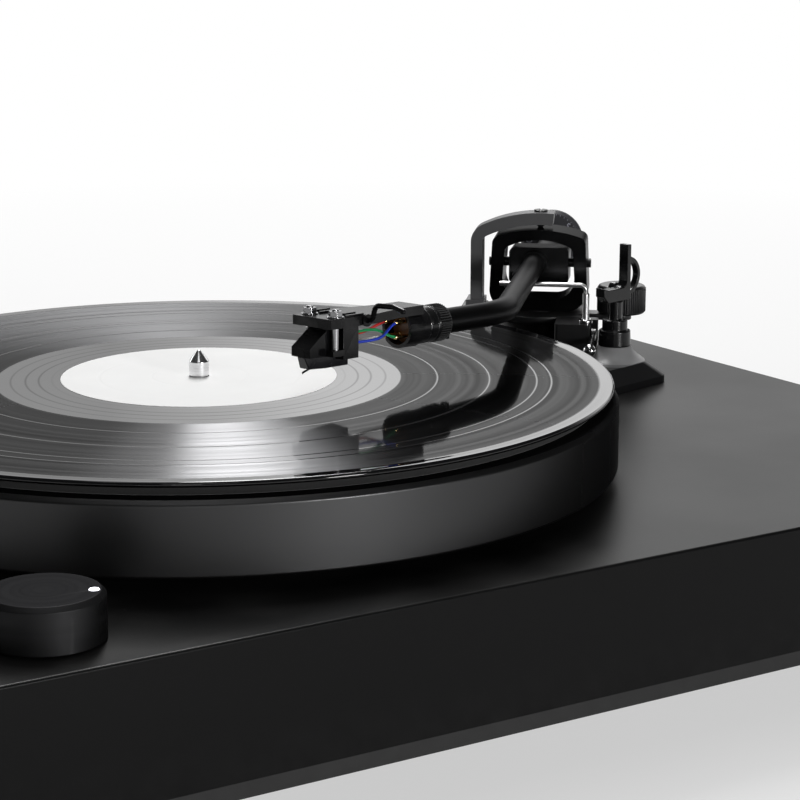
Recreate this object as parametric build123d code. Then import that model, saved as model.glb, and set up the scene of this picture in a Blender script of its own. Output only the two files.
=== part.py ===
from build123d import *
from math import asin, atan2, cos, degrees, hypot, radians, sin, tan
import os

# Belt-drive turntable with a bent tonearm, in millimetres, +Z up, +Y towards the back.
# The origin is on the table, under the middle of the plinth.

# Plinth, bottom cover and feet
PLINTH_L = 450.0
PLINTH_W = 352.0
PLINTH_T = 44.0
PLINTH_SKIN = 15.0
PLINTH_WALL = 22.0
PLINTH_CORNER = 4.0
PLINTH_EDGE = 1.0
COVER_T = 6.0
COVER_INSET = 1.5
FOOT_H = 22.0
FOOT_R = 24.0
FOOT_NECK_R = 17.0
FOOT_NECK_H = 4.0
FOOT_EDGE = 2.0
FOOT_PAD_R = 20.0
FOOT_PAD_T = 3.0
FOOT_MARGIN = 40.0

# Platter stack, from the deck up
SPINDLE_X = -60.0
PLATTER_GAP = 5.1
PLATTER_R = 152.5
PLATTER_H = 25.0
PLATTER_WEB = 9.0
PLATTER_RIM = 14.5
PLATTER_CHAMFER = 1.5
PLATTER_FOOT_CHAMFER = 0.8
HUB_R = 24.0
HUB_LIFT = 1.9
MAT_R = 146.0
MAT_T = 3.4
RECORD_R = 150.5
RECORD_T = 2.0
RECORD_RIM = 3.0
RECORD_EDGE = 0.6
RECORD_RELIEF = 0.25
LABEL_R = 50.0
LABEL_T = 0.1
LABEL_LAND = 2.0

# Spindle and main bearing
PIN_R = 3.6
PIN_H = 5.5
PIN_GROOVE_R = 3.3
PIN_GROOVE_H = 0.4
PIN_TIP_H = 4.0
PIN_TIP_R = 0.6
SHAFT_R = 5.0
SHAFT_SHOULDER = 3.0
BUSH_R = 8.0
BUSH_L = 35.0
THRUST_T = 4.0
HOUSING_WALL = 5.0
HOUSING_FLOOR = 2.0
FLANGE_R = 30.0
FLANGE_T = 3.0
FLANGE_SCREW_R = 24.0
FLANGE_SCREW_TURN = 90.0

# Belt drive under the platter
RING_R = 90.0
RING_T = 3.5
RING_FLANGE = 12.0
RING_FLANGE_T = 3.0
RING_LIFT = 2.2
MOTOR_REACH = 118.0
MOTOR_ANGLE = 135.0
PULLEY_R = 10.0
PULLEY_FLANGE = 1.5
PULLEY_FLANGE_T = 1.0
BELT_W = 6.0
BELT_T = 0.8
BELT_LIFT = 4.9
BELT_SIDE = 0.5
MOTOR_R = 18.0
MOTOR_H = 28.0
MOTOR_SHAFT_R = 1.5
MOTOR_SHAFT_DEPTH = 12.0
MOTOR_PLATE_R = 32.0
MOTOR_PLATE_T = 2.0
MOTOR_SCREW_R = 26.0
MOTOR_SCREW_TURN = 195.0
MOTOR_HOLE_GAP = 4.0
DECK_SCREW_R = 2.0
DECK_SCREW_L = 12.0
DECK_HEAD_R = 3.5
DECK_HEAD_H = 2.0

# Speed knob, front left
KNOB_SIDE = 36.0
KNOB_FRONT = 30.0
KNOB_R = 18.0
KNOB_H = 14.4
KNOB_GAP = 0.6
KNOB_EDGE = 1.5
KNOB_SHAFT_R = 3.0
KNOB_SHAFT_END = 6.0
LIGHT_R = 1.6
LIGHT_REACH = 14.4
LIGHT_ANGLE = -31.0
LIGHT_DEPTH = 4.0
LIGHT_PROUD = 0.2
SWITCH_SIDE = 14.0
SWITCH_H = 12.0

# Control board on the bottom cover
BOARD_SHIFT = 15.0
BOARD_BACK = 81.0
BOARD_L = 120.0
BOARD_W = 70.0
BOARD_T = 1.6
BOARD_POST_H = 5.0
BOARD_POST_R = 3.0
BOARD_MARGIN = 6.0
CAPACITOR_R = 6.0
CAPACITOR_H = 14.0
CAPACITOR_PITCH = 18.0
CAPACITOR_ROW = -17.5
CHIP_L = 18.0
CHIP_H = 3.0
CHIP_PITCH = 27.0
CHIP_ROW = 14.0

# Rear connector panel, sunk into the back wall
PANEL_X = 35.0
PANEL_L = 120.0
PANEL_H = 26.0
PANEL_T = 2.0
PANEL_DEPTH = 12.0
PANEL_STEP = 5.0
PANEL_DROP = 22.0
JACK_R = 4.15
JACK_L = 8.5
JACK_PITCH = 18.0
JACK_COLLAR_R = 6.0
JACK_COLLAR_T = 1.2
JACK_PLUG_R = 1.6
JACK_STEM_R = 3.0
JACK_STEM_L = 6.0
GROUND_X = 24.0
GROUND_R = 5.0
GROUND_L = 6.0
GROUND_STUD_R = 2.0
INLET_FLANGE_L = 24.0
INLET_L = 12.0
INLET_H = 11.0
INLET_PROUD = 3.0
INLET_DEPTH = 10.0
INLET_BORE_R = 2.8
SLIDER_X = 44.0
SLIDER_L = 4.0
SLIDER_H = 5.0
SLIDER_PROUD = 3.0
SLIDER_TRAVEL = 4.0
SLIDER_FLANGE = 2.5
SLIDER_FLANGE_T = 1.5

# Arm base on the deck, outlined by its four corners from the pivot axis
BASE_FOOT = [(25.6, -58.3), (47.6, 38.7), (-43.4, 38.7), (-28.4, -72.3)]
BASE_TOP = [(16.6, -55.8), (37.6, 30.7), (-35.4, 30.7), (-21.4, -65.8)]
BASE_FOOT_R = [7.0, 26.0, 26.0, 14.0]
BASE_TOP_R = [7.0, 24.0, 24.0, 12.0]
BASE_BAND = 3.0
BASE_H = 9.5

# Arm pivot; heights below are taken from the pivot point
PIVOT_REACH = 230.0
PIVOT_ANGLE = 21.23
PIVOT_H = 46.0
ARM_DIR = 229.5
ARM_TILT = 2.45
PILLAR_R = 17.5
PLATFORM_R = 22.0
PLATFORM_TOP = -20.7
PLATFORM_T = 3.8
PLATFORM_EDGE = 1.5
BEARING_R = 8.0
BEARING_L = 5.0
BEARING_SPREAD = 8.5
YOKE_SHAFT_R = 4.0
YOKE_SHAFT_L = 15.0

# Bracket over the pivot
BRACKET_OUT = 30.2
BRACKET_BAR = 5.2
BRACKET_D = 10.0
BRACKET_TOP = 22.0
BRACKET_KNEE = 9.0
BRACKET_SHOULDER_IN = 3.2
BRACKET_SHOULDER_UP = 5.1
BRACKET_PAST = 5.8
BRACKET_FOOT_H = 2.5
BRACKET_FOOT_SPREAD = 1.8
EAR_TOP = -19.0
EAR_W = 14.0
TOP_SCREW_R = 2.0
TOP_HEAD_R = 3.0
TOP_HEAD_H = 0.8
TOP_SLOT = 0.8

# Gimbal yoke
YOKE_D = 19.0
YOKE_HALF_LOW = 21.8
YOKE_HALF_HIGH = 20.3
YOKE_LOW = -20.1
YOKE_SHOULDER = 11.8
YOKE_CROWN = 15.5
YOKE_CORNER = 9.0
YOKE_SHOULDER_R = 3.5
YOKE_WALL = 5.5
YOKE_SILL = 5.2
YOKE_ROOF = 4.4
SIDE_SCREW_R = 2.0
SIDE_SCREW_HEAD = 0.6
SIDE_SCREW_GRIP = 1.0

# Arm: pivot block, tube, socket and collar
BLOCK_HALF = 13.0
BLOCK_LOW = -9.0
BLOCK_HIGH = 7.2
BLOCK_D = 16.0
BLOCK_EDGE = 2.5
BOSS_R = 6.0
BOSS_L = 4.0
TUBE_R = 4.65
TUBE_WALL = 0.8
TUBE_OFFSET = -2.0
BEND_AT = 153.0
BEND_R = 45.0
EFFECTIVE_L = 247.0
STYLUS_BEARING = 15.1
COLLAR_FROM = 36.4
COLLAR_L = 15.1
COLLAR_R = 6.7
COLLAR_GRIP_L = 6.0
COLLAR_RIDGE = 0.5
COLLAR_RIDGE_W = 0.8
COLLAR_RIDGES = 24
SOCKET_R = 5.2
SOCKET_L = 10.0
PLUG_R = 3.9
LUG_R = 1.6
LUG_H = 1.8
LUG_BACK = 3.2

# Counterweight and force dial behind the pivot
REAR_SHAFT_R = 5.0
REAR_SHAFT_L = 94.0
REAR_SIDE = 0.2
REAR_UP = 1.0
DIAL_FROM = 70.0
DIAL_T = 4.0
DIAL_R = 14.5
DIAL_BEVEL = 1.6
WEIGHT_R = 12.3
WEIGHT_L = 15.0
WEIGHT_GROOVE = 1.0
WEIGHT_GROOVE_W = 2.0
WEIGHT_EDGE = 1.2

# Headshell, cartridge and stylus; reaches are taken back from the stylus tip
STYLUS_DROP = 11.2
SCREW_BACK = 9.5
SCREW_PITCH = 12.7
SHELL_FRONT_BACK = 4.4
SHELL_W = 19.1
SHELL_T = 3.4
SHELL_LIFT = 5.0
SHELL_TAPER_FROM = 26.0
SHELL_TAPER_TO = 42.0
SHELL_NECK_W = 12.4
SHELL_SLOT_L = 14.5
SHELL_SLOT_W = 3.0
SHELL_RIB_W = 1.0
SHELL_RIB_H = 0.8
BARREL_R = 7.2
BARREL_L = 7.5
BARREL_WALL = 1.3
BARREL_DEPTH = 5.5
DISC_T = 1.2
DISC_PIN_R = 0.6
DISC_PIN_L = 2.3
DISC_PIN_AT = 2.6
LIFT_BACK = 21.3
LIFT_R = 0.95
LIFT_BEND = 2.6
LIFT_EYE_R = 2.2
LIFT_EYE_T = 1.0
LIFT_ROUTE = [(0.5, 0.0), (3.2, 0.0), (4.6, 5.6), (13.0, 6.0), (18.0, 4.9)]
CART_REAR_BACK = 19.3
CART_REAR_L = 7.5
CART_REAR_W = 16.0
CART_REAR_LOW = -6.4
CART_NOSE_W = 9.2
CART_NOSE_LOW = -5.0
CART_BROW_BACK = 7.0
CART_NOSE_AHEAD = 1.0
CART_NOSE_H = -1.7
CART_WING_W = 16.6
CART_WING_L = 5.6
CART_WING_T = 2.2
CART_PIN_L = 2.0
CART_PIN_T = 3.2
CART_PIN_HIGH = 1.6
CART_PIN_LOW = -2.0
HOLDER_LOW = -9.3
HOLDER_W = 8.4
HOLDER_REAR_BACK = 18.0
HOLDER_TIP_W = 3.6
HOLDER_TIP_BACK = 0.8
CANTILEVER_R = 0.35
CANTILEVER_L = 5.0
SCREW_R = 1.25
SCREW_PROUD = 3.0
NUT_R = 2.5
NUT_H = 1.9
WASHER_R = 3.0
WASHER_T = 0.5
WIRE_R = 0.5
WIRE_BULGES = [(-1.5, -1.5), (-0.6, 0.4), (-1.5, -1.5), (2.4, -0.4)]
WIRE_SIDES = 6

# Lifter: housing, ferrule, lift bar and cue lever
HOUSING_U = (17.0, 35.0)
HOUSING_V = (9.0, 27.0)
HOUSING_TOP = -20.9
HOUSING_LOW = -31.0
HOUSING_EDGE = 1.5
HOUSING_FOOT_V = 22.8
FERRULE_R = 3.0
FERRULE_H = 1.8
ROD_U = 30.0
ROD_V = 22.0
ROD_R = 1.5
ROD_DEPTH = 6.0
LIFT_BAR_R = 1.0
LIFT_BAR_END = -15.0
LIFT_BAR_BEND = 2.5
LIFT_BAR_GAP = 0.3
LIFT_BAR_TRAVEL = 2.5
LEVER_U = 26.0
LEVER_V = 25.4
LEVER_Z = -27.0
LEVER_L = 33.0
LEVER_R = 1.2
LEVER_HUB_R = 3.0
LEVER_HUB_W = 2.2
LEVER_PIN_R = 1.0
LEVER_PIN_L = 4.0
LEVER_GAP = 0.3
LEVER_BALL_R = 2.7

# Arm rest and its clip
REST_REACH = 44.7
REST_ANGLE = 50.5
REST_BASE_R = 6.7
REST_BASE_LOW = -30.5
REST_BASE_H = 6.8
REST_DRAFT = 0.3
REST_RING_R = 5.4
REST_RING_H = 4.6
REST_STEM_R = 3.1
REST_FLOOR = -5.7
REST_FLOOR_T = 5.5
REST_W = 4.8
REST_LIP = 10.3
REST_LIP_UP = 1.1
REST_LIP_T = 3.0
REST_SIDE = 4.9
REST_SIDE_T = 2.3
REST_TOP = 12.6
REST_FILLET = 3.0
PEDESTAL_R = 19.0
PEDESTAL_HOLLOW = 0.3
CLIP_W = 3.0
CLIP_GAP = 0.4
CLIP_IN = 6.6
CLIP_T = 1.8
CLIP_SIDE = 4.2
CLIP_DROP = 0.8
CLIP_HUB_R = 2.3
CLIP_PIN_R = 1.1
CLIP_RISE = 1.05
CLIP_SWING = 90.0
CLIP_ARC = 165.0

# Anti-skate knob on the platform
SKATE_V = 36.0
SKATE_R = 10.8
SKATE_LOW = -21.5
SKATE_H = 12.4
SKATE_EDGE = 1.0
SKATE_ARM_W = 9.0
SKATE_ARM_TOP = -21.7
SKATE_SHAFT_R = 2.0

# Fits
RUNNING = 0.04
SEAT = 0.02
LOOSE = 0.2
BELT_FIT = 0.1

# Heights from the table
COVER_TOP = FOOT_H + COVER_T
DECK = COVER_TOP + PLINTH_T
POCKET_TOP = DECK - PLINTH_SKIN
PLATTER_LOW = DECK + PLATTER_GAP
PLATTER_TOP = PLATTER_LOW + PLATTER_H
WEB_LOW = PLATTER_TOP - PLATTER_WEB
HUB_LOW = PLATTER_LOW + HUB_LIFT
MAT_TOP = PLATTER_TOP + MAT_T
RECORD_TOP = MAT_TOP + RECORD_T
FLANGE_TOP = DECK + FLANGE_T
BUSH_LOW = FLANGE_TOP - BUSH_L
HOUSING_R = BUSH_R + HOUSING_WALL
BELT_LOW = PLATTER_LOW + BELT_LIFT
BASE_PLATEAU = BASE_H - PIVOT_H

# Arm geometry worked out from the effective length and the bend
STYLUS_U = EFFECTIVE_L * cos(radians(STYLUS_BEARING))
STYLUS_V = -EFFECTIVE_L * sin(radians(STYLUS_BEARING))
BEND = degrees(atan2(TUBE_OFFSET - STYLUS_V, STYLUS_U - BEND_AT))
STYLUS_S = hypot(STYLUS_U - BEND_AT, STYLUS_V - TUBE_OFFSET)
COLLAR_TO = COLLAR_FROM + COLLAR_L
SCREW_S = STYLUS_S - SCREW_BACK
SHELL_FRONT = STYLUS_S - SHELL_FRONT_BACK
SHELL_TOP = SHELL_LIFT + SHELL_T
PARK_SWING = REST_ANGLE + degrees(asin(-TUBE_OFFSET / REST_REACH))

# Places that several pieces share
KNOB_X = KNOB_SIDE - PLINTH_L / 2
KNOB_Y = KNOB_FRONT - PLINTH_W / 2
BOARD_X = PANEL_X - BOARD_SHIFT
BOARD_Y = PLINTH_W / 2 - BOARD_BACK
MOTOR_X = SPINDLE_X + MOTOR_REACH * cos(radians(MOTOR_ANGLE))
MOTOR_Y = MOTOR_REACH * sin(radians(MOTOR_ANGLE))
SPINDLE = Pos(SPINDLE_X, 0, 0)
PIVOT_X = SPINDLE_X + PIVOT_REACH * cos(radians(PIVOT_ANGLE))
PIVOT_Y = PIVOT_REACH * sin(radians(PIVOT_ANGLE))
MOUNT = Pos(PIVOT_X, PIVOT_Y, DECK + PIVOT_H) * Rot(0, 0, ARM_DIR)
ARM = MOUNT * Rot(0, -ARM_TILT, 0)
HEAD = ARM * Pos(BEND_AT, TUBE_OFFSET, 0) * Rot(0, 0, -BEND)
PARK = MOUNT * Rot(0, 0, PARK_SWING)
REST_X = (REST_REACH**2 - TUBE_OFFSET**2) ** 0.5
REST = PARK * Pos(REST_X, TUBE_OFFSET, 0)
PANEL_FACE = PLINTH_W / 2 - PANEL_DEPTH
PANEL = Pos(PANEL_X, PANEL_FACE, DECK - PANEL_DROP)

UP = (Align.CENTER, Align.CENTER, Align.MIN)
LOW_CORNER = (Align.MIN, Align.MIN, Align.MIN)


def bar(radius, low, high, x=0.0, y=0.0):
    """Upright round bar between two heights."""
    return Pos(x, y, low) * Cylinder(radius, high - low, align=UP)


def sleeve(outer, inner, low, high, x=0.0, y=0.0):
    """Upright round sleeve between two heights."""
    return bar(outer, low, high, x, y) - bar(inner, low, high, x, y)


def bar_x(radius, start, end, y=0.0, z=0.0):
    """Round bar along X."""
    return Pos(start, y, z) * Rot(0, 90, 0) * Cylinder(radius, end - start, align=UP)


def bar_y(radius, start, end, x=0.0, z=0.0):
    """Round bar along Y."""
    return Pos(x, start, z) * Rot(-90, 0, 0) * Cylinder(radius, end - start, align=UP)


def block(x, y, z):
    """Block between two limits on each axis."""
    return Pos(x[0], y[0], z[0]) * Box(x[1] - x[0], y[1] - y[0], z[1] - z[0], align=LOW_CORNER)


def turned(*profile):
    """Round piece turned about Z from (radius, height) points."""
    points = [(radius, 0, height) for radius, height in profile]
    return revolve(make_face(Polyline(*points, close=True)), Axis.Z)


def turned_x(*profile):
    """Round piece turned about X from (place along X, radius) points."""
    return Rot(0, 90, 0) * turned(*[(radius, along) for along, radius in profile])


def on_circle(radius, count, start=0.0):
    """Evenly spaced places on a circle."""
    angles = [radians(start + 360 * index / count) for index in range(count)]
    return [(radius * cos(angle), radius * sin(angle)) for angle in angles]


def rounded(corners, radii):
    """Closed outline through corner points, each with its own radius."""
    outline = make_face(Polyline(*corners, close=True))
    for corner, radius in zip(corners, radii):
        nearest = outline.vertices().sort_by_distance((*corner, 0))[0]
        outline = fillet(nearest, radius)
    return outline


def bearing_screw_places():
    """Screws round the main bearing's flange."""
    return [(SPINDLE_X + x, y) for x, y in on_circle(FLANGE_SCREW_R, 3, FLANGE_SCREW_TURN)]


def motor_screw_places():
    """Screws round the motor plate."""
    return [(MOTOR_X + x, MOTOR_Y + y) for x, y in on_circle(MOTOR_SCREW_R, 3, MOTOR_SCREW_TURN)]


def foot_places():
    """Middle of each foot."""
    x = PLINTH_L / 2 - FOOT_MARGIN
    y = PLINTH_W / 2 - FOOT_MARGIN
    return [(-x, -y), (x, -y), (x, y), (-x, y)]


def plinth():
    """Board box, open underneath, with its holes and the connector window."""
    outline = RectangleRounded(PLINTH_L, PLINTH_W, PLINTH_CORNER)
    body = Pos(0, 0, COVER_TOP) * extrude(outline, PLINTH_T)
    body = fillet(body.edges().group_by(Axis.Z)[-1], PLINTH_EDGE)
    inner_l = PLINTH_L - 2 * PLINTH_WALL
    inner_w = PLINTH_W - 2 * PLINTH_WALL
    body -= Pos(0, 0, COVER_TOP) * Box(inner_l, inner_w, PLINTH_T - PLINTH_SKIN, align=UP)
    body -= bar(HOUSING_R + LOOSE, POCKET_TOP, DECK, SPINDLE_X)
    body -= bar(MOTOR_R + MOTOR_HOLE_GAP, POCKET_TOP, DECK, MOTOR_X, MOTOR_Y)
    body -= bar(KNOB_SHAFT_R + RUNNING, POCKET_TOP, DECK, KNOB_X, KNOB_Y)
    for x, y in bearing_screw_places() + motor_screw_places():
        body -= bar(DECK_SCREW_R + SEAT, POCKET_TOP, DECK, x, y)
    window_l = PANEL_L - 2 * PANEL_STEP
    window_h = PANEL_H - 2 * PANEL_STEP
    body -= PANEL * Box(PANEL_L, 2 * PANEL_DEPTH, PANEL_H, align=(Align.CENTER, Align.MIN, Align.CENTER))
    body -= PANEL * Box(window_l, 2 * PLINTH_WALL, window_h)
    return body


def bottom_cover():
    """Flat cover with the control board's posts."""
    length = PLINTH_L - 2 * COVER_INSET
    width = PLINTH_W - 2 * COVER_INSET
    cover = Pos(0, 0, FOOT_H) * extrude(RectangleRounded(length, width, PLINTH_CORNER), COVER_T)
    for x, y in board_corners():
        cover += bar(BOARD_POST_R, COVER_TOP, COVER_TOP + BOARD_POST_H, x, y)
    return cover


def feet():
    """Four turned feet with a narrower neck under the cover."""
    foot = turned(
        (0, FOOT_PAD_T),
        (FOOT_R - FOOT_EDGE, FOOT_PAD_T),
        (FOOT_R, FOOT_PAD_T + FOOT_EDGE),
        (FOOT_R, FOOT_H - FOOT_NECK_H - FOOT_EDGE),
        (FOOT_R - FOOT_EDGE, FOOT_H - FOOT_NECK_H),
        (FOOT_NECK_R, FOOT_H - FOOT_NECK_H),
        (FOOT_NECK_R, FOOT_H),
        (0, FOOT_H),
    )
    return Compound([Pos(x, y, 0) * foot for x, y in foot_places()])


def foot_pads():
    """Rubber disc under each foot."""
    return Compound([bar(FOOT_PAD_R, 0, FOOT_PAD_T, x, y) for x, y in foot_places()])


def bearing_housing():
    """Flanged cup that hangs through the deck and holds the bush."""
    low = BUSH_LOW - THRUST_T - HOUSING_FLOOR
    cup = bar(HOUSING_R, low, FLANGE_TOP) + bar(FLANGE_R, DECK, FLANGE_TOP)
    cup -= bar(BUSH_R + SEAT, low + HOUSING_FLOOR, FLANGE_TOP)
    cup = SPINDLE * cup
    for x, y in bearing_screw_places():
        cup -= bar(DECK_SCREW_R + SEAT, DECK, FLANGE_TOP, x, y)
    return cup


def bearing_bush():
    """Plain sleeve that the spindle turns in."""
    return SPINDLE * sleeve(BUSH_R, SHAFT_R + RUNNING, BUSH_LOW, FLANGE_TOP)


def thrust_pad():
    """Disc that carries the spindle's end."""
    return SPINDLE * bar(BUSH_R, BUSH_LOW - THRUST_T, BUSH_LOW)


def deck_screw(x, y, seat):
    """Pan-head screw with its head on a seat."""
    screw = bar(DECK_SCREW_R, seat - DECK_SCREW_L, seat, x, y)
    return screw + bar(DECK_HEAD_R, seat, seat + DECK_HEAD_H, x, y)


def deck_screws():
    """Screws of the main bearing and of the motor plate."""
    screws = [deck_screw(x, y, FLANGE_TOP) for x, y in bearing_screw_places()]
    screws += [deck_screw(x, y, DECK + MOTOR_PLATE_T) for x, y in motor_screw_places()]
    return Compound(screws)


def motor_plate():
    """Steel disc that hangs the motor in its hole."""
    plate = bar(MOTOR_PLATE_R, DECK, DECK + MOTOR_PLATE_T, MOTOR_X, MOTOR_Y)
    plate -= bar(MOTOR_SHAFT_R + LOOSE, DECK, DECK + MOTOR_PLATE_T, MOTOR_X, MOTOR_Y)
    for x, y in motor_screw_places():
        plate -= bar(DECK_SCREW_R + SEAT, DECK, DECK + MOTOR_PLATE_T, x, y)
    return plate


def motor():
    """Round motor can under the plate, with its shaft's bore."""
    can = bar(MOTOR_R, DECK - MOTOR_H, DECK, MOTOR_X, MOTOR_Y)
    return can - bar(MOTOR_SHAFT_R + RUNNING, DECK - MOTOR_SHAFT_DEPTH, DECK, MOTOR_X, MOTOR_Y)


def motor_pulley():
    """Flanged pulley on the motor's shaft."""
    low = BELT_LOW - BELT_SIDE
    high = BELT_LOW + BELT_W + BELT_SIDE
    pulley = bar(PULLEY_R, low, high)
    pulley += bar(PULLEY_R + PULLEY_FLANGE, low - PULLEY_FLANGE_T, low)
    pulley += bar(PULLEY_R + PULLEY_FLANGE, high, high + PULLEY_FLANGE_T)
    pulley += bar(MOTOR_SHAFT_R, DECK - MOTOR_SHAFT_DEPTH + LOOSE, low)
    return Pos(MOTOR_X, MOTOR_Y, 0) * pulley


def belt_outline(margin):
    """Closed loop round the drive ring and the pulley, a margin outside both."""
    ring = RING_R + margin
    pulley = PULLEY_R + margin
    lean = degrees(asin((ring - pulley) / MOTOR_REACH))
    steep = radians(90 - lean)
    ring_up = (ring * cos(steep), ring * sin(steep))
    ring_down = (ring_up[0], -ring_up[1])
    pulley_up = (MOTOR_REACH + pulley * cos(steep), pulley * sin(steep))
    pulley_down = (pulley_up[0], -pulley_up[1])
    return make_face([
        ThreePointArc(ring_up, (-ring, 0), ring_down),
        Line(ring_down, pulley_down),
        ThreePointArc(pulley_down, (MOTOR_REACH + pulley, 0), pulley_up),
        Line(pulley_up, ring_up),
    ])


def drive_belt():
    """Flat belt round the drive ring and the pulley."""
    loop = extrude(belt_outline(BELT_FIT + BELT_T), BELT_W) - extrude(belt_outline(BELT_FIT), BELT_W)
    return Pos(SPINDLE_X, 0, BELT_LOW) * Rot(0, 0, MOTOR_ANGLE) * loop


def spindle():
    """Steel shaft in the bush, with the record pin above its shoulder."""
    shoulder = PLATTER_TOP - SHAFT_SHOULDER
    return SPINDLE * turned(
        (0, BUSH_LOW + RUNNING),
        (SHAFT_R, BUSH_LOW + RUNNING),
        (SHAFT_R, shoulder),
        (PIN_R, shoulder),
        (PIN_R, RECORD_TOP - PIN_GROOVE_H),
        (PIN_GROOVE_R, RECORD_TOP - PIN_GROOVE_H),
        (PIN_GROOVE_R, RECORD_TOP + PIN_GROOVE_H),
        (PIN_R, RECORD_TOP + PIN_GROOVE_H),
        (PIN_R, RECORD_TOP + PIN_H),
        (PIN_TIP_R, RECORD_TOP + PIN_H + PIN_TIP_H),
        (0, RECORD_TOP + PIN_H + PIN_TIP_H),
    )


def platter():
    """Heavy turned dish with a hub, a thin web and a deep rim."""
    shoulder = PLATTER_TOP - SHAFT_SHOULDER
    return SPINDLE * turned(
        (SHAFT_R + SEAT, HUB_LOW),
        (HUB_R, HUB_LOW),
        (HUB_R, WEB_LOW),
        (PLATTER_R - PLATTER_RIM, WEB_LOW),
        (PLATTER_R - PLATTER_RIM, PLATTER_LOW),
        (PLATTER_R - PLATTER_FOOT_CHAMFER, PLATTER_LOW),
        (PLATTER_R, PLATTER_LOW + PLATTER_FOOT_CHAMFER),
        (PLATTER_R, PLATTER_TOP - PLATTER_CHAMFER),
        (PLATTER_R - PLATTER_CHAMFER, PLATTER_TOP),
        (PIN_R + SEAT, PLATTER_TOP),
        (PIN_R + SEAT, shoulder),
        (SHAFT_R + SEAT, shoulder),
    )


def drive_ring():
    """Ring under the platter's web that the belt runs on."""
    low = PLATTER_LOW + RING_LIFT
    return SPINDLE * turned(
        (RING_R - RING_FLANGE, WEB_LOW - RING_FLANGE_T),
        (RING_R - RING_T, WEB_LOW - RING_FLANGE_T),
        (RING_R - RING_T, low),
        (RING_R, low),
        (RING_R, WEB_LOW),
        (RING_R - RING_FLANGE, WEB_LOW),
    )


def platter_mat():
    """Black mat, smaller than the record."""
    return SPINDLE * sleeve(MAT_R, PIN_R + SEAT, PLATTER_TOP, MAT_TOP)


def record():
    """Pressed disc with a thick middle, a thin grooved band and a raised rim."""
    low = MAT_TOP + LABEL_T
    high = RECORD_TOP - LABEL_T
    band_from = LABEL_R + LABEL_LAND
    band_to = RECORD_R - RECORD_RIM
    return SPINDLE * turned(
        (PIN_R + SEAT, low),
        (band_from, low),
        (band_from + LABEL_LAND, low + RECORD_RELIEF),
        (band_to - RECORD_RIM, low + RECORD_RELIEF),
        (band_to, low),
        (RECORD_R - RECORD_EDGE, low),
        (RECORD_R, low + RECORD_EDGE),
        (RECORD_R, high - RECORD_EDGE),
        (RECORD_R - RECORD_EDGE, high),
        (band_to, high),
        (band_to - RECORD_RIM, high - RECORD_RELIEF),
        (band_from + LABEL_LAND, high - RECORD_RELIEF),
        (band_from, high),
        (PIN_R + SEAT, high),
    )


def record_labels():
    """Paper disc on each side of the record."""
    lower = SPINDLE * sleeve(LABEL_R, PIN_R + SEAT, MAT_TOP, MAT_TOP + LABEL_T)
    upper = SPINDLE * sleeve(LABEL_R, PIN_R + SEAT, RECORD_TOP - LABEL_T, RECORD_TOP)
    return Compound([lower, upper])


def light_place():
    """Middle of the lit mark on the knob."""
    angle = radians(LIGHT_ANGLE)
    return LIGHT_REACH * cos(angle), LIGHT_REACH * sin(angle)


def speed_knob():
    """Turned knob with its shaft and the hole of the lit mark."""
    low = DECK + KNOB_GAP
    knob = turned(
        (0, low),
        (KNOB_R, low),
        (KNOB_R, low + KNOB_H - KNOB_EDGE),
        (KNOB_R - KNOB_EDGE, low + KNOB_H),
        (0, low + KNOB_H),
    )
    knob += bar(KNOB_SHAFT_R, POCKET_TOP - KNOB_SHAFT_END, low)
    x, y = light_place()
    knob -= bar(LIGHT_R + SEAT, low + KNOB_H - LIGHT_DEPTH, low + KNOB_H, x, y)
    return Pos(KNOB_X, KNOB_Y, 0) * knob


def knob_light():
    """Clear lens of the lit mark."""
    high = DECK + KNOB_GAP + KNOB_H
    x, y = light_place()
    return bar(LIGHT_R, high - LIGHT_DEPTH, high + LIGHT_PROUD, KNOB_X + x, KNOB_Y + y)


def rotary_switch():
    """Switch under the deck that the knob's shaft turns."""
    switch = Pos(KNOB_X, KNOB_Y, POCKET_TOP - SWITCH_H) * Box(SWITCH_SIDE, SWITCH_SIDE, SWITCH_H, align=UP)
    shaft_end = POCKET_TOP - KNOB_SHAFT_END - LOOSE
    return switch - bar(KNOB_SHAFT_R + RUNNING, shaft_end, POCKET_TOP, KNOB_X, KNOB_Y)


def board_corners():
    """Places of the control board's posts."""
    x = BOARD_L / 2 - BOARD_MARGIN
    y = BOARD_W / 2 - BOARD_MARGIN
    return [(BOARD_X + i * x, BOARD_Y + j * y) for i in (-1, 1) for j in (-1, 1)]


def control_board():
    """Circuit board with its capacitors and chips."""
    low = COVER_TOP + BOARD_POST_H
    top = low + BOARD_T
    board = Pos(BOARD_X, BOARD_Y, low) * Box(BOARD_L, BOARD_W, BOARD_T, align=UP)
    for index in (-1, 0, 1):
        capacitor_x = BOARD_X + index * CAPACITOR_PITCH
        board += bar(CAPACITOR_R, top, top + CAPACITOR_H, capacitor_x, BOARD_Y + CAPACITOR_ROW)
        chip_x = BOARD_X + index * CHIP_PITCH
        board += Pos(chip_x, BOARD_Y + CHIP_ROW, top) * Box(CHIP_L, CHIP_L, CHIP_H, align=UP)
    return board


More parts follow.
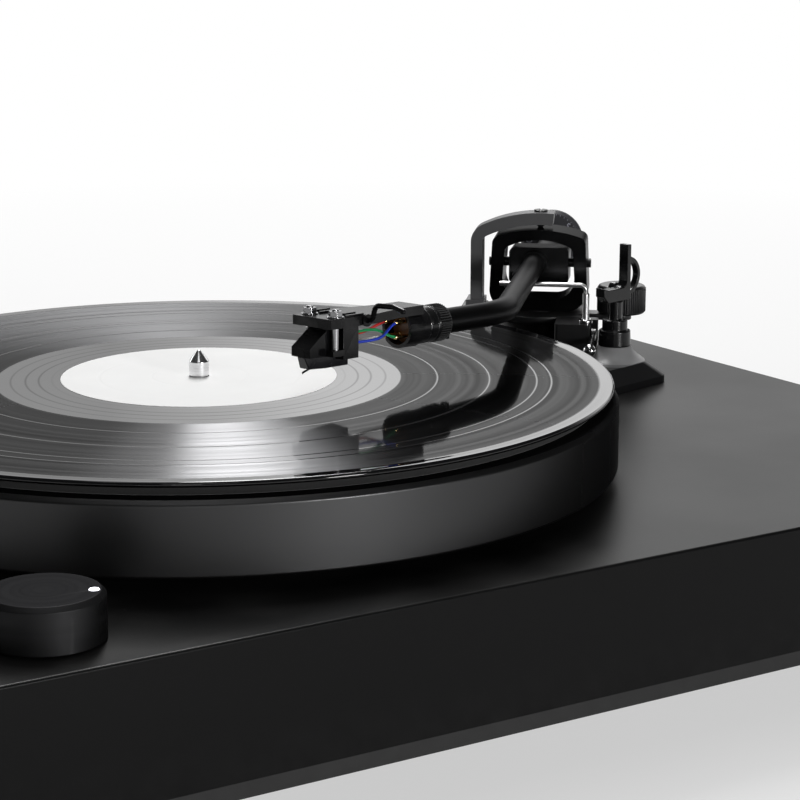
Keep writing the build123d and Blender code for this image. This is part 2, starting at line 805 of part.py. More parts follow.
def rear_panel():
    """Plate that carries the sockets, on the step of its recess."""
    plate = block(
        (INLET_FLANGE_L - PANEL_L / 2 + LOOSE, PANEL_L / 2 - LOOSE),
        (0, PANEL_T),
        (LOOSE - PANEL_H / 2, PANEL_H / 2 - LOOSE),
    )
    for x in jack_places():
        plate -= bar_y(JACK_STEM_R + SEAT, 0, PANEL_T, x)
    plate -= bar_y(GROUND_STUD_R + SEAT, 0, PANEL_T, GROUND_X)
    slot_l = SLIDER_L + SLIDER_TRAVEL + 2 * LOOSE
    plate -= Pos(SLIDER_X + SLIDER_TRAVEL / 2, 0, 0) * Box(slot_l, 3 * PANEL_T, SLIDER_H + 2 * LOOSE)
    return PANEL * plate


def jack_places():
    """Left and right jack, along the panel."""
    return [-JACK_PITCH, 0.0]


def rca_jacks():
    """Two phono jacks: collar, barrel and the stem behind the panel."""
    jacks = []
    for x in jack_places():
        jack = bar_y(JACK_R, PANEL_T, PANEL_T + JACK_L, x)
        jack += bar_y(JACK_COLLAR_R, PANEL_T, PANEL_T + JACK_COLLAR_T, x)
        jack += bar_y(JACK_STEM_R, PANEL_T - JACK_STEM_L, PANEL_T, x)
        jack -= bar_y(JACK_PLUG_R, PANEL_T + JACK_COLLAR_T, PANEL_T + JACK_L, x)
        jacks.append(PANEL * jack)
    return Compound(jacks)


def ground_post():
    """Stud with its thumb nut."""
    post = bar_y(GROUND_STUD_R, -PANEL_T, PANEL_T + GROUND_L + PANEL_T, GROUND_X)
    return PANEL * (post + bar_y(GROUND_R, PANEL_T, PANEL_T + GROUND_L, GROUND_X))


def dc_inlet():
    """Power inlet: a square body with a round bore, on a flange beside the panel."""
    reach = PANEL_T + INLET_PROUD
    start = -PANEL_L / 2
    middle = start + INLET_FLANGE_L / 2
    inlet = block(
        (start + LOOSE, start + INLET_FLANGE_L - LOOSE),
        (0, PANEL_T),
        (LOOSE - PANEL_H / 2, PANEL_H / 2 - LOOSE),
    )
    inlet += block(
        (middle - INLET_L / 2, middle + INLET_L / 2),
        (reach - INLET_DEPTH - INLET_PROUD, reach),
        (-INLET_H / 2, INLET_H / 2),
    )
    inlet -= bar_y(INLET_BORE_R, reach - INLET_DEPTH, reach, middle)
    return PANEL * inlet


def output_switch():
    """Slider of the line/phono switch, with a flange behind the panel."""
    slider = block(
        (SLIDER_X - SLIDER_L / 2, SLIDER_X + SLIDER_L / 2),
        (-LOOSE, PANEL_T + SLIDER_PROUD),
        (-SLIDER_H / 2, SLIDER_H / 2),
    )
    slider += block(
        (SLIDER_X - SLIDER_L / 2 - SLIDER_FLANGE, SLIDER_X + SLIDER_L / 2 + SLIDER_FLANGE),
        (-LOOSE - SLIDER_FLANGE_T, -LOOSE),
        (-SLIDER_H / 2 - SLIDER_FLANGE / 2, SLIDER_H / 2 + SLIDER_FLANGE / 2),
    )
    return PANEL * slider


def arm_base():
    """Moulded foot of the arm: an upright band, sloping sides and the rest's pedestal."""
    foot = rounded(BASE_FOOT, BASE_FOOT_R)
    top = rounded(BASE_TOP, BASE_TOP_R)
    base = extrude(foot, BASE_BAND)
    base += loft([Pos(0, 0, BASE_BAND) * foot, Pos(0, 0, BASE_H) * top], ruled=True)
    base = Pos(PIVOT_X, PIVOT_Y, DECK) * base
    neck = REST_BASE_R + REST_DRAFT
    hollow = (
        neck + PEDESTAL_HOLLOW * (PEDESTAL_R - neck),
        0,
        BASE_PLATEAU + PEDESTAL_HOLLOW * (REST_BASE_LOW - BASE_PLATEAU),
    )
    flare = revolve(make_face([
        Line((0, 0, BASE_PLATEAU), (PEDESTAL_R, 0, BASE_PLATEAU)),
        ThreePointArc((PEDESTAL_R, 0, BASE_PLATEAU), hollow, (neck, 0, REST_BASE_LOW)),
        Line((neck, 0, REST_BASE_LOW), (0, 0, REST_BASE_LOW)),
        Line((0, 0, REST_BASE_LOW), (0, 0, BASE_PLATEAU)),
    ]), Axis.Z)
    inside = Pos(PIVOT_X, PIVOT_Y, DECK + BASE_H) * extrude(top, REST_BASE_LOW - BASE_PLATEAU)
    inside -= MOUNT * block(HOUSING_U, (HOUSING_V[0], HOUSING_FOOT_V + SEAT), (BASE_PLATEAU, HOUSING_LOW))
    return base + (REST * flare & inside)


def arm_pillar():
    """Pillar with its platform, the bracket's ear and the anti-skate knob's arm."""
    low = PLATFORM_TOP - PLATFORM_T
    pillar = turned(
        (0, BASE_PLATEAU),
        (PILLAR_R, BASE_PLATEAU),
        (PILLAR_R, low),
        (PLATFORM_R - PLATFORM_EDGE, low),
        (PLATFORM_R, low + PLATFORM_EDGE),
        (PLATFORM_R, PLATFORM_TOP),
        (0, PLATFORM_TOP),
    )
    ear_from = BRACKET_OUT - BRACKET_BAR - BRACKET_FOOT_SPREAD
    ear_to = BRACKET_OUT + 2 * BRACKET_FOOT_SPREAD
    pillar += block((-EAR_W / 2, EAR_W / 2), (-ear_to, -PILLAR_R), (low, PLATFORM_TOP))
    pillar += block((-EAR_W / 2, EAR_W / 2), (-ear_to, -ear_from), (low, EAR_TOP))
    arm = block((-SKATE_ARM_W / 2, SKATE_ARM_W / 2), (PILLAR_R, SKATE_V), (low, SKATE_ARM_TOP))
    pillar += arm + bar(SKATE_ARM_W / 2, low, SKATE_ARM_TOP, 0, SKATE_V)
    pillar -= bar(SKATE_SHAFT_R + RUNNING, low, SKATE_ARM_TOP, 0, SKATE_V)
    pillar -= bar(BEARING_R + SEAT, PLATFORM_TOP - BEARING_SPREAD - BEARING_L, PLATFORM_TOP)
    return MOUNT * pillar


def pivot_bearings():
    """Two ring bearings in the pillar."""
    rings = []
    for drop in (0, BEARING_SPREAD):
        high = PLATFORM_TOP - drop
        rings.append(MOUNT * sleeve(BEARING_R, YOKE_SHAFT_R + RUNNING, high - BEARING_L, high))
    return Compound(rings)


def arm_bracket():
    """Flat bar bent into a C: a foot, a post and an arched top over the pivot."""
    out = -BRACKET_OUT
    inner = out + BRACKET_BAR
    middle = out + BRACKET_BAR / 2
    post = Line((middle, EAR_TOP), (middle, BRACKET_KNEE))
    knee_end = (middle + BRACKET_SHOULDER_IN, BRACKET_KNEE + BRACKET_SHOULDER_UP)
    knee = TangentArc(post @ 1, knee_end, tangent=post % 1)
    crown = TangentArc(knee @ 1, (BRACKET_PAST, BRACKET_TOP - BRACKET_BAR / 2), tangent=knee % 1)
    profile = trace(Curve() + [post, knee, crown], BRACKET_BAR)
    bracket = extrude(Plane.YZ * profile, BRACKET_D / 2, both=True)
    foot_half = BRACKET_D / 2 + BRACKET_FOOT_SPREAD
    bracket += block(
        (-foot_half, foot_half),
        (out - BRACKET_FOOT_SPREAD, inner + BRACKET_FOOT_SPREAD / 2),
        (EAR_TOP, EAR_TOP + BRACKET_FOOT_H),
    )
    bracket -= bar(TOP_SCREW_R + SEAT, 0, BRACKET_TOP + BRACKET_BAR)
    return MOUNT * bracket


def top_pivot_screw():
    """Slotted screw through the bracket, with its point in the yoke's crown."""
    point = YOKE_CROWN - TOP_SCREW_R / 2 + RUNNING
    seat = BRACKET_TOP + TOP_HEAD_H / 2
    screw = turned(
        (0, point),
        (TOP_SCREW_R, point + TOP_SCREW_R),
        (TOP_SCREW_R, seat),
        (TOP_HEAD_R, seat),
        (TOP_HEAD_R, seat + TOP_HEAD_H),
        (0, seat + TOP_HEAD_H),
    )
    slot = Pos(0, 0, seat + TOP_HEAD_H / 2) * Box(2 * TOP_HEAD_R, TOP_SLOT, TOP_HEAD_H, align=UP)
    return MOUNT * (screw - slot)


def arch(half_low, half_high, low, shoulder, crown, corner, shoulder_r):
    """Closed outline with a flat bottom, sloping sides and an arched top."""
    outline = make_face([
        Line((-half_low, low), (half_low, low)),
        Line((half_low, low), (half_high, shoulder)),
        ThreePointArc((half_high, shoulder), (0, crown), (-half_high, shoulder)),
        Line((-half_high, shoulder), (-half_low, low)),
    ])
    outline = fillet(outline.vertices().group_by(Axis.Y)[0], corner)
    return fillet(outline.vertices().group_by(Axis.Y)[-1], shoulder_r)


def gimbal_yoke():
    """Closed ring that turns under the bracket and holds the arm between two side screws."""
    outer = arch(
        YOKE_HALF_LOW, YOKE_HALF_HIGH, YOKE_LOW, YOKE_SHOULDER, YOKE_CROWN, YOKE_CORNER, YOKE_SHOULDER_R
    )
    inner = arch(
        YOKE_HALF_LOW - YOKE_WALL,
        YOKE_HALF_HIGH - YOKE_WALL,
        YOKE_LOW + YOKE_SILL,
        YOKE_SHOULDER - YOKE_ROOF,
        YOKE_CROWN - YOKE_ROOF,
        YOKE_CORNER,
        YOKE_SHOULDER_R,
    )
    yoke = extrude(Plane.YZ * (outer - inner), YOKE_D / 2, both=True)
    yoke -= bar_y(SIDE_SCREW_R + SEAT, -YOKE_HALF_LOW, YOKE_HALF_LOW)
    cup = YOKE_CROWN - TOP_SCREW_R / 2
    yoke -= turned((0, cup), (TOP_SCREW_R, cup + TOP_SCREW_R), (0, cup + TOP_SCREW_R))
    yoke -= bar(YOKE_SHAFT_R + SEAT, YOKE_LOW, YOKE_LOW + YOKE_SILL / 2)
    return MOUNT * yoke


def yoke_shaft():
    """Steel shaft under the yoke, in the pillar's bearings."""
    return MOUNT * bar(YOKE_SHAFT_R, YOKE_LOW + YOKE_SILL / 2 - YOKE_SHAFT_L, YOKE_LOW + YOKE_SILL / 2)


def yoke_pivot_screws():
    """Screw through each side of the yoke, with its end in the pivot block."""
    end = BLOCK_HALF - SIDE_SCREW_GRIP
    head = YOKE_HALF_LOW + SIDE_SCREW_HEAD
    return Compound([
        MOUNT * bar_y(SIDE_SCREW_R, end, head),
        MOUNT * bar_y(SIDE_SCREW_R, -head, -end),
    ])


def pivot_block():
    """Block between the side screws, with the boss that takes the tube."""
    outline = RectangleRounded(2 * BLOCK_HALF, BLOCK_HIGH - BLOCK_LOW, BLOCK_EDGE)
    outline = Pos(0, (BLOCK_HIGH + BLOCK_LOW) / 2) * outline
    body = extrude(Plane.YZ * outline, BLOCK_D / 2, both=True)
    body += bar_x(BOSS_R, BLOCK_D / 2, BLOCK_D / 2 + BOSS_L, TUBE_OFFSET)
    body -= bar_x(TUBE_R + SEAT, 0, BLOCK_D / 2 + BOSS_L, TUBE_OFFSET)
    body -= bar_x(REAR_SHAFT_R + SEAT, -BLOCK_D / 2, 0, REAR_SIDE, REAR_UP)
    grip = SIDE_SCREW_GRIP + RUNNING
    for start in (-BLOCK_HALF, BLOCK_HALF - grip):
        body -= bar_y(SIDE_SCREW_R + RUNNING, start, start + grip)
    return ARM * body


def arm_tube():
    """Bent tube from the pivot block to the socket, with a lug under its front end."""
    end = COLLAR_FROM + COLLAR_L - SOCKET_L
    lean = radians(BEND)
    path = FilletPolyline(
        (0, TUBE_OFFSET),
        (BEND_AT, TUBE_OFFSET),
        (BEND_AT + end * cos(lean), TUBE_OFFSET - end * sin(lean)),
        radius=BEND_R,
    )
    section = Circle(TUBE_R) - Circle(TUBE_R - TUBE_WALL)
    tube = ARM * sweep(Plane(origin=path @ 0, z_dir=path % 0) * section, path)
    return tube + HEAD * bar(LUG_R, -TUBE_R - LUG_H, TUBE_WALL / 2 - TUBE_R, COLLAR_FROM - LUG_BACK)


def counterweight_shaft():
    """Round shaft behind the pivot block."""
    return ARM * bar_x(REAR_SHAFT_R, -REAR_SHAFT_L, 0, REAR_SIDE, REAR_UP)


def counterweight():
    """Turned weight with two grooves."""
    start = -DIAL_FROM - DIAL_T - LOOSE
    end = start - WEIGHT_L
    profile = [(start, REAR_SHAFT_R + RUNNING), (start, WEIGHT_R)]
    for share in (1, 2):
        middle = start - share * WEIGHT_L / 3
        for along, depth in ((0.5, 0), (0.5, 1), (-0.5, 1), (-0.5, 0)):
            profile.append((middle + along * WEIGHT_GROOVE_W, WEIGHT_R - depth * WEIGHT_GROOVE))
    profile += [(end + WEIGHT_EDGE, WEIGHT_R), (end, WEIGHT_R - WEIGHT_EDGE)]
    profile.append((end, REAR_SHAFT_R + RUNNING))
    return ARM * Pos(0, REAR_SIDE, REAR_UP) * turned_x(*profile)


def force_dial():
    """Bevelled ring in front of the counterweight."""
    front = -DIAL_FROM
    rear = front - DIAL_T
    bore = REAR_SHAFT_R + RUNNING
    return ARM * Pos(0, REAR_SIDE, REAR_UP) * turned_x(
        (front, bore),
        (front, DIAL_R - DIAL_BEVEL),
        (front - DIAL_BEVEL, DIAL_R),
        (rear, DIAL_R),
        (rear, bore),
    )


def arm_socket():
    """Sleeve in the collar that joins the tube to the headshell's plug."""
    middle = COLLAR_TO - SOCKET_L
    socket = bar_x(SOCKET_R, middle - SOCKET_L / 2, COLLAR_TO)
    socket -= bar_x(TUBE_R + SEAT, middle - SOCKET_L / 2, middle)
    return HEAD * (socket - bar_x(PLUG_R + SEAT, middle, COLLAR_TO))


def locking_collar():
    """Ring nut with a ridged grip that draws the headshell in."""
    grip_to = COLLAR_FROM + COLLAR_GRIP_L
    outline = Circle(COLLAR_R)
    for index in range(COLLAR_RIDGES):
        ridge = Pos(COLLAR_R, 0) * Rectangle(2 * COLLAR_RIDGE, COLLAR_RIDGE_W)
        outline += Rot(0, 0, index * 360 / COLLAR_RIDGES) * ridge
    grip = Pos(COLLAR_FROM, 0, 0) * extrude(Plane.YZ * outline, COLLAR_GRIP_L)
    collar = grip + bar_x(COLLAR_R, grip_to, COLLAR_TO)
    return HEAD * (collar - bar_x(SOCKET_R + RUNNING, COLLAR_FROM, COLLAR_TO))


def headshell():
    """Flat plate with slots for the cartridge, on a barrel with its plug."""
    taper_from = STYLUS_S - SHELL_TAPER_FROM
    taper_to = STYLUS_S - SHELL_TAPER_TO
    rear = COLLAR_TO
    half = SHELL_W / 2
    neck = SHELL_NECK_W / 2
    outline = make_face(Polyline(
        (SHELL_FRONT, half),
        (taper_from, half),
        (taper_to, neck),
        (rear, neck),
        (rear, -neck),
        (taper_to, -neck),
        (taper_from, -half),
        (SHELL_FRONT, -half),
        close=True,
    ))
    shell = Pos(0, 0, SHELL_LIFT) * extrude(outline, SHELL_T)
    shell += bar_x(BARREL_R, rear, rear + BARREL_L)
    shell -= bar_x(BARREL_R - BARREL_WALL, rear + BARREL_L - BARREL_DEPTH, rear + BARREL_L)
    shell += bar_x(PLUG_R, rear - SOCKET_L + LOOSE, rear)
    slot_middle = SCREW_S + SHELL_SLOT_W - SHELL_SLOT_L / 2
    for side in (-1, 1):
        y = side * SCREW_PITCH / 2
        shell -= Pos(slot_middle, y, SHELL_LIFT) * extrude(SlotOverall(SHELL_SLOT_L, SHELL_SLOT_W), SHELL_T)
        for edge in (-1, 1):
            rib_y = y + edge * (SHELL_SLOT_W + SHELL_RIB_W) / 2
            rib_s = (slot_middle - SHELL_SLOT_L / 2, SCREW_S - WASHER_R)
            rib_t = (rib_y - SHELL_RIB_W / 2, rib_y + SHELL_RIB_W / 2)
            shell += block(rib_s, rib_t, (SHELL_TOP, SHELL_TOP + SHELL_RIB_H))
    return HEAD * shell


def connector_disc():
    """Insulating disc in the barrel with its contact pins."""
    floor = COLLAR_TO + BARREL_L - BARREL_DEPTH
    disc = bar_x(BARREL_R - BARREL_WALL - SEAT, floor, floor + DISC_T)
    front = COLLAR_TO + BARREL_L
    for y, z in disc_pin_places():
        disc += bar_x(DISC_PIN_R, floor + DISC_T, front + DISC_PIN_L, y, z)
    return HEAD * disc


def disc_pin_places():
    """Contact pins of the connector, upper pair first."""
    return [(side * DISC_PIN_AT, level * DISC_PIN_AT) for level in (1, -1) for side in (-1, 1)]


def cartridge_pin_places():
    """Contact pins of the cartridge, upper pair first."""
    return [(side * CART_PIN_T, level) for level in (CART_PIN_HIGH, CART_PIN_LOW) for side in (-1, 1)]


def finger_lift():
    """Bent rod beside the headshell, on an eye against its edge."""
    half = SHELL_W / 2
    middle = SHELL_LIFT + SHELL_T / 2
    path = FilletPolyline(*[(0, half + out, middle + up) for out, up in LIFT_ROUTE], radius=LIFT_BEND)
    rod = sweep(Plane(origin=path @ 0, z_dir=path % 0) * Circle(LIFT_R), path)
    rod += Pos(*(path @ 1)) * Sphere(LIFT_R)
    rod += bar_y(LIFT_EYE_R, half, half + LIFT_EYE_T, 0, middle)
    return HEAD * Pos(STYLUS_S - LIFT_BACK, 0, 0) * rod


def cartridge_body():
    """Cartridge: a wide rear block, a narrow sloping nose and the wings that take the screws."""
    rear = STYLUS_S - CART_REAR_BACK
    rear_to = rear + CART_REAR_L
    brow = STYLUS_S - CART_BROW_BACK
    nose = STYLUS_S + CART_NOSE_AHEAD
    body = block((rear, rear_to), (-CART_REAR_W / 2, CART_REAR_W / 2), (CART_REAR_LOW, SHELL_LIFT))
    side = make_face(Polyline(
        (rear_to, SHELL_LIFT),
        (SHELL_FRONT, SHELL_LIFT),
        (brow, SHELL_LIFT - SHELL_RIB_W),
        (nose, CART_NOSE_H),
        (nose, CART_NOSE_LOW),
        (rear_to, CART_NOSE_LOW),
        close=True,
    ))
    body += extrude(Plane.XZ * side, CART_NOSE_W / 2, both=True)
    wing = (SCREW_S - CART_WING_L / 2, SCREW_S + CART_WING_L / 2)
    body += block(wing, (-CART_WING_W / 2, CART_WING_W / 2), (CART_NOSE_LOW, CART_NOSE_LOW + CART_WING_T))
    for place in (-1, 1):
        body -= bar(SCREW_R + SEAT, CART_REAR_LOW, SHELL_LIFT, SCREW_S, place * SCREW_PITCH / 2)
    for y, z in cartridge_pin_places():
        body += bar_x(DISC_PIN_R, rear - CART_PIN_L, rear, y, z)
    return HEAD * body


def stylus_holder():
    """Replaceable holder under the cartridge, tapered to the stylus."""
    rear = STYLUS_S - HOLDER_REAR_BACK
    front = STYLUS_S + CART_NOSE_AHEAD
    tip = STYLUS_S - HOLDER_TIP_BACK
    upper = CART_NOSE_LOW - SEAT
    corners = [(rear, upper), (front, upper), (tip, HOLDER_LOW), (rear, HOLDER_LOW)]
    outline = make_face(Polyline(*corners, close=True))
    holder = extrude(Plane.XZ * outline, HOLDER_W / 2, both=True)
    rear_to = STYLUS_S - CART_REAR_BACK + CART_REAR_L
    holder -= block((rear, rear_to + SEAT), (-HOLDER_W, HOLDER_W), (CART_REAR_LOW - SEAT, SHELL_LIFT))
    half = HOLDER_TIP_W / 2
    waist = STYLUS_S - CART_BROW_BACK
    for side in (-1, 1):
        cheek = make_face(Polyline(
            (waist, side * HOLDER_W / 2), (front, side * half), (front, side * HOLDER_W / 2), close=True
        ))
        holder -= Pos(0, 0, HOLDER_LOW) * extrude(cheek, upper - HOLDER_LOW)
    return HEAD * holder


def stylus():
    """Cantilever with the stylus tip under its front end."""
    lean = degrees(atan2(STYLUS_DROP + HOLDER_LOW - CANTILEVER_R, CANTILEVER_L))
    arm = Pos(STYLUS_S, 0, -STYLUS_DROP + 2 * CANTILEVER_R) * Rot(0, 180 + lean, 0)
    rod = arm * bar_x(CANTILEVER_R, 0, CANTILEVER_L)
    tip_top = -STYLUS_DROP + 2 * CANTILEVER_R
    tip = turned((0, -STYLUS_DROP), (CANTILEVER_R, tip_top), (0, tip_top))
    rod = rod + Pos(STYLUS_S, 0, 0) * tip
    return HEAD * (rod - block((0, STYLUS_S), (-HOLDER_W, HOLDER_W), (HOLDER_LOW, 0)))


def cartridge_screws():
    """Two screws through the headshell's slots, with washers and nuts on top."""
    screws = []
    for side in (-1, 1):
        screw = bar(SCREW_R, CART_NOSE_LOW, SHELL_TOP + SCREW_PROUD)
        screw += bar(WASHER_R, SHELL_TOP, SHELL_TOP + WASHER_T)
        nut = extrude(RegularPolygon(NUT_R, 6), NUT_H)
        screw += Pos(0, 0, SHELL_TOP + WASHER_T) * nut
        screws.append(HEAD * Pos(SCREW_S, side * SCREW_PITCH / 2, 0) * screw)
    return Compound(screws)


def lead_wires():
    """Four leads from the cartridge's pins to the connector's pins; the near pair crosses."""
    start = STYLUS_S - CART_REAR_BACK - CART_PIN_L
    end = COLLAR_TO + BARREL_L + DISC_PIN_L
    left_up, right_up, left_down, right_down = disc_pin_places()
    ends = [left_up, right_down, left_down, right_up]
    wires = []
    for (y0, z0), (y1, z1), (out, up) in zip(cartridge_pin_places(), ends, WIRE_BULGES):
        middle = ((start + end) / 2, (y0 + y1) / 2 + out, (z0 + z1) / 2 + up)
        path = Spline((start, y0, z0), middle, (end, y1, z1), tangents=[(-1, 0, 0), (-1, 0, 0)])
        section = Plane(origin=path @ 0, z_dir=path % 0) * RegularPolygon(WIRE_R, WIRE_SIDES)
        wires.append(HEAD * sweep(section, path))
    return Compound(wires)


def lifter_housing():
    """Block beside the pillar with the lift rod's bore and the lever's slot."""
    body = block(HOUSING_U, HOUSING_V, (HOUSING_LOW, HOUSING_TOP))
    body = fillet(body.edges().filter_by(Axis.Z), HOUSING_EDGE)
    body += block(HOUSING_U, (HOUSING_V[0], HOUSING_FOOT_V), (BASE_PLATEAU, HOUSING_LOW))
    body -= bar(PLATFORM_R + SEAT, BASE_PLATEAU, HOUSING_TOP)
    body -= bar(ROD_R + RUNNING, HOUSING_TOP - ROD_DEPTH - LIFT_BAR_TRAVEL - LOOSE, HOUSING_TOP, ROD_U, ROD_V)
    slot_side = LEVER_V - LEVER_HUB_W / 2 - LEVER_GAP
    slot_from = LEVER_U - LEVER_HUB_R - LEVER_GAP
    slot_low = LEVER_Z - LEVER_HUB_R - LEVER_GAP
    body -= block((slot_from, HOUSING_U[1]), (slot_side, HOUSING_V[1]), (slot_low, HOUSING_TOP))
    body -= bar_y(LEVER_PIN_R + RUNNING, slot_side - LEVER_PIN_L, slot_side, LEVER_U, LEVER_Z)
    return MOUNT * body


def lifter_ferrule():
    """Chrome collar that guides the lift rod."""
    return MOUNT * sleeve(FERRULE_R, ROD_R + RUNNING, HOUSING_TOP, HOUSING_TOP + FERRULE_H, ROD_U, ROD_V)


def lift_bar():
    """Chrome rod bent over at the top to pass under the tube."""
    under_tube = ROD_U * sin(radians(ARM_TILT)) - TUBE_R * cos(radians(ARM_TILT))
    level = under_tube - LIFT_BAR_GAP - LIFT_BAR_R
    path = FilletPolyline(
        (ROD_U, LIFT_BAR_END, level),
        (ROD_U, ROD_V, level),
        (ROD_U, ROD_V, HOUSING_TOP + FERRULE_H),
        radius=LIFT_BAR_BEND,
    )
    bar_top = sweep(Plane(origin=path @ 0, z_dir=path % 0) * Circle(LIFT_BAR_R), path)
    knee = level - LIFT_BAR_BEND - LIFT_BAR_R
    return MOUNT * (bar_top + bar(ROD_R, HOUSING_TOP - ROD_DEPTH, knee, ROD_U, ROD_V))


def cue_lever():
    """Lever with its hub and pin in the housing and a ball at its end."""
    lever = bar_y(LEVER_HUB_R, -LEVER_HUB_W / 2, LEVER_HUB_W / 2)
    pin_end = -LEVER_HUB_W / 2 - LEVER_PIN_L
    lever += bar_y(LEVER_PIN_R, pin_end, 0)
    lever += bar_x(LEVER_R, 0, LEVER_L)
    lever += Pos(LEVER_L, 0, 0) * Sphere(LEVER_BALL_R)
    return MOUNT * Pos(LEVER_U, LEVER_V, LEVER_Z) * lever


def rest_post():
    """Turned post of the arm rest: a wide base, a ring and a stem."""
    base_top = REST_BASE_LOW + REST_BASE_H
    ring_top = base_top + REST_RING_H
    return REST * turned(
        (0, REST_BASE_LOW),
        (REST_BASE_R + REST_DRAFT, REST_BASE_LOW),
        (REST_BASE_R, base_top),
        (REST_RING_R, base_top),
        (REST_RING_R, ring_top),
        (REST_STEM_R, ring_top),
        (REST_STEM_R, REST_FLOOR - REST_FLOOR_T),
        (0, REST_FLOOR - REST_FLOOR_T),
    )


def arm_rest():
    """Cradle: a floor with a low lip and a tall side, and the clip's pin behind it."""
    side = REST_SIDE + REST_SIDE_T
    low = REST_FLOOR - REST_FLOOR_T
    outline = make_face(Polyline(
        (-REST_LIP, low + REST_FILLET),
        (-REST_LIP, REST_FLOOR + REST_LIP_UP),
        (-REST_LIP + REST_LIP_T, REST_FLOOR),
        (REST_SIDE, REST_FLOOR),
        (REST_SIDE, REST_TOP),
        (side, REST_TOP),
        (side, low),
        (-REST_LIP + REST_FILLET, low),
        close=True,
    ))
    inner = outline.vertices().sort_by_distance((REST_SIDE, REST_FLOOR, 0))[0]
    cradle = extrude(Plane.YZ * fillet(inner, REST_FILLET), REST_W / 2, both=True)
    pin_end = -REST_W / 2 - CLIP_GAP - CLIP_W
    cradle += bar_x(CLIP_PIN_R, pin_end, 0, CLIP_SIDE, REST_FLOOR - CLIP_DROP)
    return REST * cradle


def rest_clip():
    """Hook that turns over the parked tube; here it is open."""
    pivot = (CLIP_SIDE, REST_FLOOR - CLIP_DROP)
    closed_at = (0.0 - pivot[0], CLIP_RISE - pivot[1])
    reach = hypot(*closed_at)
    angle = atan2(closed_at[1], closed_at[0]) - radians(CLIP_SWING)
    middle = (pivot[0] + reach * cos(angle), pivot[1] + reach * sin(angle))
    radius = CLIP_IN + CLIP_T / 2
    start = -CLIP_SWING
    arc = CenterArc(middle, radius, start, CLIP_ARC)
    leg = Line(pivot, arc @ 0)
    hook = trace(arc, CLIP_T) + trace(leg, CLIP_T) + Pos(*pivot) * Circle(CLIP_HUB_R)
    hook += Pos(*(arc @ 0)) * Circle(CLIP_T / 2)
    hook += Pos(*(arc @ 1)) * Circle(CLIP_T / 2)
    hook -= Pos(*pivot) * Circle(CLIP_PIN_R + RUNNING)
    back = -REST_W / 2 - CLIP_GAP
    return REST * Pos(back - CLIP_W, 0, 0) * extrude(Plane.YZ * hook, CLIP_W)


def antiskate_knob():
    """Turned knob with its shaft in the platform's arm."""
    high = SKATE_LOW + SKATE_H
    knob = turned(
        (0, SKATE_LOW),
        (SKATE_R - SKATE_EDGE, SKATE_LOW),
        (SKATE_R, SKATE_LOW + SKATE_EDGE),
        (SKATE_R, high - SKATE_EDGE),
        (SKATE_R - SKATE_EDGE, high),
        (0, high),
    )
    knob += bar(SKATE_SHAFT_R, PLATFORM_TOP - PLATFORM_T, SKATE_LOW)
    return MOUNT * Pos(0, SKATE_V, 0) * knob


PIECES = [
    plinth, bottom_cover, feet, foot_pads, bearing_housing, bearing_bush, thrust_pad, deck_screws,
    motor_plate, motor, motor_pulley, drive_belt, spindle, platter, drive_ring, platter_mat, record,
    record_labels, speed_knob, knob_light, rotary_switch, control_board, rear_panel, rca_jacks,
    ground_post, dc_inlet, output_switch, arm_base, arm_pillar, pivot_bearings, arm_bracket,
    top_pivot_screw, gimbal_yoke, yoke_shaft, yoke_pivot_screws, pivot_block, arm_tube,
    counterweight_shaft, counterweight, force_dial, arm_socket, locking_collar, headshell,
    connector_disc, finger_lift, cartridge_body, stylus_holder, stylus, cartridge_screws, lead_wires,
    lifter_housing, lifter_ferrule, lift_bar, cue_lever, rest_post, arm_rest, rest_clip, antiskate_knob,
]

os.makedirs("parts", exist_ok=True)
for piece in PIECES:
    export_step(piece(), f"parts/{piece.__name__}.step")
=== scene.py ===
import bmesh
import bpy
import math
from mathutils import Matrix, Vector


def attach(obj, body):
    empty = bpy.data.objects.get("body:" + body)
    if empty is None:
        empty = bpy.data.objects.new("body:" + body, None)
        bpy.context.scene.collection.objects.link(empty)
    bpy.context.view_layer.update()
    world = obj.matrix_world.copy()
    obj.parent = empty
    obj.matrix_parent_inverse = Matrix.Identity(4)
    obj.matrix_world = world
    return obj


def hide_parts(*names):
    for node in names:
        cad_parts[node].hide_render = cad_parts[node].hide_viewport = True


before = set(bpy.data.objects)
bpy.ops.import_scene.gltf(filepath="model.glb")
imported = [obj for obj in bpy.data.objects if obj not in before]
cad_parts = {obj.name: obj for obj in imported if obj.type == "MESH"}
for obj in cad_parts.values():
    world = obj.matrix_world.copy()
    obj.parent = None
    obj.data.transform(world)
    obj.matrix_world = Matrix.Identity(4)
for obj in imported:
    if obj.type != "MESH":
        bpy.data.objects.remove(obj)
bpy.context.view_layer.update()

# Plinth: a shallow box of fibre board, open underneath, that carries the whole player.
# It is sprayed satin black, with its edges eased first so that the paint stays on them.
MM = 0.001
PAINT_BLACK = (0.0045, 0.0045, 0.0046)
DUST_GREY = (0.24, 0.235, 0.23)
EDGE_GREY = (0.10, 0.10, 0.10)
MOTTLE_PER_M, SPECKS_PER_M, PATCHES_PER_M, CHIPS_PER_M = 17.0, 190.0, 26.0, 120.0
SAME_PLANE, SHARP_CORNER = math.radians(0.6), math.radians(32)
FLAT_FACES_FIRST = 100


def new_group(name, kind, inputs, outputs):
    """Node group with named sockets, and its two end nodes."""
    tree = bpy.data.node_groups.new(name, kind + "NodeTree")
    for way, sockets in (("INPUT", inputs), ("OUTPUT", outputs)):
        for label, socket in sockets.items():
            tree.interface.new_socket(name=label, in_out=way, socket_type="NodeSocket" + socket)
    return tree, tree.nodes.new("NodeGroupInput"), tree.nodes.new("NodeGroupOutput")


